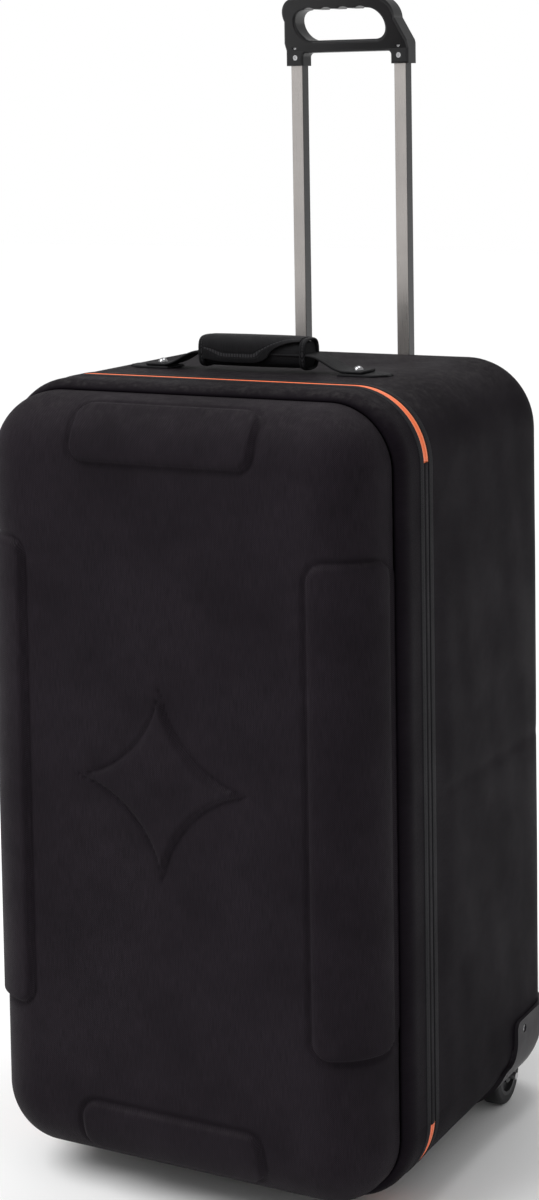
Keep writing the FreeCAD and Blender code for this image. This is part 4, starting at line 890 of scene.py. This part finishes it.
# the sleeve's section carried along x, drawn in to a point at both ends
def buildSleeve(shrink):
    turn = np.linspace(0, 2 * math.pi, 49)
    x = np.concatenate([[-1, -1], np.linspace(-1, 1, 31), [1, 1]])[:, None] * (handle["halfLong"] - shrink)
    scale = np.concatenate([[0.0, 0.8], np.ones(31), [0.8, 0.0]])[:, None]
    y, z = sleeveSection(turn[None, :], handle["halfWide"] - shrink, handle["halfHigh"] - shrink)
    points = inFrame(x, handle["middleY"] + y * scale, handle["middleZ"] + z * scale)
    uv = np.stack(np.broadcast_arrays(x / 1000, turn[None, :] * 0.018), -1)
    return [(points, uv)]


def selectOnly(piece):
    bpy.ops.object.select_all(action="DESELECT")
    piece.select_set(True)
    bpy.context.view_layer.objects.active = piece


def applyAll(piece):
    selectOnly(piece)
    for modifier in list(piece.modifiers):
        bpy.ops.object.modifier_apply(modifier=modifier.name)


def remesh(piece, size):
    piece.data.remesh_voxel_size = size
    piece.data.use_remesh_preserve_volume = False
    selectOnly(piece)
    bpy.ops.object.voxel_remesh()


def meshCoords(mesh):
    coords = np.empty(len(mesh.vertices) * 3)
    mesh.vertices.foreach_get("co", coords)
    return coords.reshape(-1, 3)


# inflates a padded piece with cloth under pressure, and keeps each point within cap of where it began
def inflate(piece, voxel, pressure, cap):
    remesh(piece, voxel)
    before = meshCoords(piece.data)
    cloth = piece.modifiers.new("cloth", "CLOTH")
    cloth.settings.use_pressure = True
    cloth.settings.uniform_pressure_force = pressure
    cloth.settings.effector_weights.gravity = 0
    cloth.settings.quality = 6
    cloth.point_cache.frame_start, cloth.point_cache.frame_end = 1, 20
    for step in range(1, 21):
        bpy.context.scene.frame_set(step)
    applyAll(piece)
    bpy.context.scene.frame_set(1)
    move = meshCoords(piece.data) - before
    size = np.linalg.norm(move, axis=1, keepdims=True)
    move *= np.minimum(1, cap / np.maximum(size, 1e-9))
    piece.data.vertices.foreach_set("co", (before + move).ravel())
    finer = piece.modifiers.new("finer", "SUBSURF")
    finer.levels = finer.render_levels = 1
    applyAll(piece)
    smoothShade(piece.data)


sleeve = surface("handleSleeve", buildSleeve(2.6), solid=True)
inflate(sleeve, handle["voxel"], handle["pressure"], handle["cap"])
finishPiece(sleeve, "carry_handle", "web_fabric", finish["sleeve"], "handle_wrap")


# the flap: follows the section from behind the top, over it and down the front, and its edge sweeps up
# to the right
def buildFlap():
    count, rows = 60, 40
    x = np.linspace(-handle["flapHalf"], handle["flapHalf"], count)[:, None]
    sweep = handle["flapTo"] + 0.2 * (1 - ease(x, -66, -30)) + 1.15 * ease(x, 0, handle["flapHalf"])
    ratio = np.linspace(0, 1, rows)[None, :]
    turn = handle["flapFrom"] + (math.pi - sweep - handle["flapFrom"]) * ratio
    grids = []
    fuller = 1.2 * np.sin(np.pi * ratio) * np.sin(np.pi * (x / handle["flapHalf"] + 1) / 2) ** 0.5
    for thick in (0.0, -handle["flapThick"]):
        proud = handle["flapProud"] + thick + fuller
        y, z = sleeveSection(turn, handle["halfWide"] + proud, handle["halfHigh"] + proud)
        points = inFrame(x, handle["middleY"] + y, handle["middleZ"] + z)
        length = (1 - ratio) * 0.018 * np.abs(math.pi - sweep - handle["flapFrom"])
        grids.append((points, np.stack(np.broadcast_arrays(x / 1000, length), -1)))
    return grids + rims(*grids)


flap = surface("sleeveFlap", buildFlap(), solid=True)
soften = flap.modifiers.new("edge", "BEVEL")
soften.width, soften.segments, soften.angle_limit = 0.0006, 2, 0.9
finishPiece(flap, "carry_handle", "web_fabric", finish["flap"])


# a bound end: a small roll carried round the sleeve's section
def buildSleeveEnd(x):
    turn = np.linspace(0, 2 * math.pi, 61)[:, None]
    roll = np.linspace(0, 2 * math.pi, 13)[None, :]
    proud = -1.5 + 0.9 * np.sin(turn) + 1.7 * np.sin(roll)
    y, z = sleeveSection(turn, handle["halfWide"] + proud, handle["halfHigh"] + proud)
    points = inFrame(x + 4.0 * np.cos(roll), handle["middleY"] + y, handle["middleZ"] + z)
    return [(points, np.stack(np.broadcast_arrays(turn * 0.018, roll * 0.003), -1))]


for label, sign in (("sleeveEndLeft", -1), ("sleeveEndRight", 1)):
    end = surface(label, buildSleeveEnd(sign * (handle["halfLong"] - 4)), solid=True)
    finishPiece(end, "carry_handle", "web_fabric", finish["webbing"])


# the webbing: flat on both tabs, then an S curve up to the sleeve; section is a thin rounded bar
def buildStrap():
    long, thick = strapHigh[0], handle["strapThick"]
    leaves, meets = long - handle["strapFlat"], handle["halfLong"]
    low, level = strapLow[2] + thick / 2, handle["middleZ"]
    pull = handle["strapPull"] * (leaves - meets)
    t = np.linspace(0, 1, 25)
    weights = np.stack([(1 - t) ** 3, 3 * t * (1 - t) ** 2, 3 * t ** 2 * (1 - t), t ** 3])
    bendX = weights.T @ np.array([leaves, leaves - pull, meets + pull, meets])
    bendZ = weights.T @ np.array([low, low, level, level])
    halfX = np.concatenate([np.linspace(long, leaves, 12)[:-1], bendX, np.linspace(meets, 0, 10)[1:]])
    halfZ = np.concatenate([np.full(11, low), bendZ, np.full(9, level)])
    x = np.concatenate([halfX, -halfX[::-1][1:]])
    z = np.concatenate([halfZ, halfZ[::-1][1:]])
    slope = np.arctan2(np.gradient(z), -np.gradient(x))
    turn = np.linspace(0, 2 * math.pi, 33)
    wide = (strapHigh[1] - strapLow[1]) / 2
    across = signedPower(np.cos(turn), handle["strapEdge"][0]) * wide
    up = signedPower(np.sin(turn), handle["strapEdge"][1]) * thick / 2
    px = x[:, None] + up[None, :] * np.sin(slope)[:, None]
    pz = z[:, None] + up[None, :] * np.cos(slope)[:, None]
    points = inFrame(px, handle["middleY"] + across[None, :], pz)
    uv = np.stack(np.broadcast_arrays(running(x, z)[:, None], (across[None, :] + wide) / 1000), -1)
    return [(points, uv)] + caps(points, uv)


strap = surface("handleWebbing", buildStrap(), solid=True)
finishPiece(strap, None, "web_fabric", finish["webbing"], "handle_strap")
inFrame(0, handle["middleY"], strapLow[2] + 3.2).tolist()
inFrame(0, handle["middleY"], handle["middleZ"] - 3).tolist()
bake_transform(strap)


# a tab: a plate that narrows to a blunt point, thick in the middle and thin at its edge
def buildTab(sign):
    near, far = tabLow[0], tabHigh[0]
    low, high = tabLow[2], tabHigh[2]
    wide = (tabHigh[1] - tabLow[1]) / 2
    along = np.linspace(0, 1, 41)[:, None]
    across = np.sin(np.linspace(-1, 1, 33) * math.pi / 2)[None, :]
    x = near + (far - near) * along
    half = wide * (1 - 0.66 * ease(x, far - 16, far + 2) - 0.04 * (1 - ease(x, near, near + 5)))
    edge = np.clip(np.minimum((1 - np.abs(across)) * half, np.minimum(x - near, far - x)) / 2.2, 0, 1)
    rise = (high - low - 0.7) * np.sqrt(1 - (1 - edge) ** 2)
    y = handle["middleY"] + across * half
    lower = inFrame(sign * x, y, low + 0 * y)
    side = inFrame(sign * x, y, low + 0.7 + 0 * y)
    upper = inFrame(sign * x, y, low + 0.7 + rise)
    uv = np.stack(np.broadcast_arrays(x / 1000, (1 - np.abs(across)) * half / 1000), -1)
    return [(lower, uv), (upper, uv)] + rims((lower, uv), (side, uv))


for label, node, sign in (("leftTab", "left_handle_tab", -1), ("rightTab", "right_handle_tab", 1)):
    tab = surface(label, buildTab(sign), solid=True)
    finishPiece(tab, "case", "web_fabric", finish["flap"], node)
print("carry handle")

foamWay = {"voxel": 0.005, "smooth": 4, "nodes": {
    "left_foam": "case", "right_foam": "case", "top_foam": "case", "bottom_foam": "case", "back_foam": "case",
    "back_spacer": "case", "corner_foam": "case", "lower_cradle": "case", "upper_cradle": "case",
    "lid_corner_foam": "lid", "lid_foam": "lid"}}


# a foam block: a merged copy of its solid, remeshed so that its cut edges can be rounded off
def buildFoam(node):
    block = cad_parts[node].copy()
    block.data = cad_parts[node].data.copy()
    block.name = "soft." + node
    block.parent = None
    block.matrix_world = Matrix.Identity(4)
    for key in list(block.keys()):
        del block[key]
    bpy.context.scene.collection.objects.link(block)
    merged = bmesh.new()
    merged.from_mesh(block.data)
    bmesh.ops.remove_doubles(merged, verts=merged.verts, dist=0.00001)
    merged.to_mesh(block.data)
    merged.free()
    remesh(block, foamWay["voxel"])
    smooth = block.modifiers.new("cutEdges", "SMOOTH")
    smooth.factor, smooth.iterations = 0.5, foamWay["smooth"]
    applyAll(block)
    smoothShade(block.data)
    return block


for node, body in foamWay["nodes"].items():
    block = buildFoam(node)
    finishPiece(block, body, "foam", finish["foam"], node)
print("foam")

studio = {
    "floorSize": 30.0, "floorColour": (0.96, 0.96, 0.96), "world": (1.0, 1.0, 1.0), "worldLight": 0.55,
    "sunFrom": (-0.55, -0.50, 0.95), "sunStrength": 2.1, "sunAngle": 40.0,
    "lamps": [  # place, aim, size, watts
        ((0.25, 0.45, 2.7), (0.0, 0.1, 0.9), 0.8, 14.0),
        ((-1.6, -2.0, 1.9), (0.0, -0.2, 0.7), 0.9, 7.0),
    ],
}
floorMesh = bpy.data.meshes.new("floor")
reachX, reachY = np.meshgrid(np.linspace(-0.5, 0.5, 3), np.linspace(-0.5, 0.5, 3))
floorPoints = np.stack([reachX, reachY, 0 * reachX], -1).reshape(-1, 3) * studio["floorSize"]
cells = np.arange(9).reshape(3, 3)
floorFaces = np.stack([cells[:-1, :-1], cells[:-1, 1:], cells[1:, 1:], cells[1:, :-1]], -1).reshape(-1, 4)
floorMesh.from_pydata(floorPoints.tolist(), [], floorFaces.tolist())
floor = bpy.data.objects.new("floor", floorMesh)
bpy.context.scene.collection.objects.link(floor)
floorFinish, floorTree, floorShader = newMaterial("palePaper")
paper = noiseNode(floorTree, objectPlace(floorTree), 3.0, 4.0, 0.6)
floorTree.links.new(mixColour(floorTree, paper, studio["floorColour"], (0.97, 0.97, 0.97)),
                    floorShader.inputs["Base Color"])
floorShader.inputs["Roughness"].default_value = 0.8
floorMesh.materials.append(floorFinish)

world = bpy.data.worlds.new("studio")
bpy.context.scene.world = world
world.use_nodes = True
world.node_tree.nodes["Background"].inputs["Color"].default_value = (*studio["world"], 1.0)
sky = world.node_tree
seen = sky.nodes.new("ShaderNodeLightPath").outputs["Is Camera Ray"]
strength = mathNode(sky, "MULTIPLY_ADD", seen, 1 - studio["worldLight"], studio["worldLight"])
sky.links.new(strength, sky.nodes["Background"].inputs["Strength"])


# a matrix whose -z looks along a direction, with x level
def lookAlong(at, forward):
    forward = np.array(forward, float) / np.linalg.norm(forward)
    across = np.cross(forward, [0.0, 0.0, 1.0])
    across /= np.linalg.norm(across)
    above = np.cross(across, forward)
    matrix = np.eye(4)
    matrix[:3, 0], matrix[:3, 1], matrix[:3, 2], matrix[:3, 3] = across, above, -forward, at
    return Matrix(matrix.tolist())


for number, (at, aim, size, watts) in enumerate(studio["lamps"], start=1):
    lamp = bpy.data.lights.new("softbox%d" % number, "AREA")
    lamp.size, lamp.energy = size, watts
    holder = bpy.data.objects.new("softbox%d" % number, lamp)
    bpy.context.scene.collection.objects.link(holder)
    holder.matrix_world = lookAlong(at, np.array(aim) - np.array(at))

sun = bpy.data.lights.new("softSun", "SUN")
sun.energy, sun.angle = studio["sunStrength"], math.radians(studio["sunAngle"])
sunHolder = bpy.data.objects.new("softSun", sun)
bpy.context.scene.collection.objects.link(sunHolder)
sunHolder.matrix_world = lookAlong((0, 0, 3), -np.array(studio["sunFrom"]))

# the camera stands to the right of the case, a little above it, and looks slightly down
view = {"at": (1185.6, -2116.9, 1121.6), "turn": 27.98, "tilt": -4.668, "roll": -0.923, "lens": 69.16,
        "shift": -0.25}
turned, tilted, rolled = (math.radians(view[key]) for key in ("turn", "tilt", "roll"))
flatReach = math.cos(tilted)
forward = [-math.sin(turned) * flatReach, math.cos(turned) * flatReach, math.sin(tilted)]
level = lookAlong(place(*view["at"]), forward)
camera = bpy.data.cameras.new("camera")
camera.lens, camera.sensor_width, camera.shift_y = view["lens"], 36.0, view["shift"]
cameraHolder = bpy.data.objects.new("camera", camera)
bpy.context.scene.collection.objects.link(cameraHolder)
cameraHolder.matrix_world = level @ Matrix.Rotation(rolled, 4, "Z")
bpy.context.scene.camera = cameraHolder
bpy.context.scene.view_settings.view_transform = "Standard"
print("studio ready")
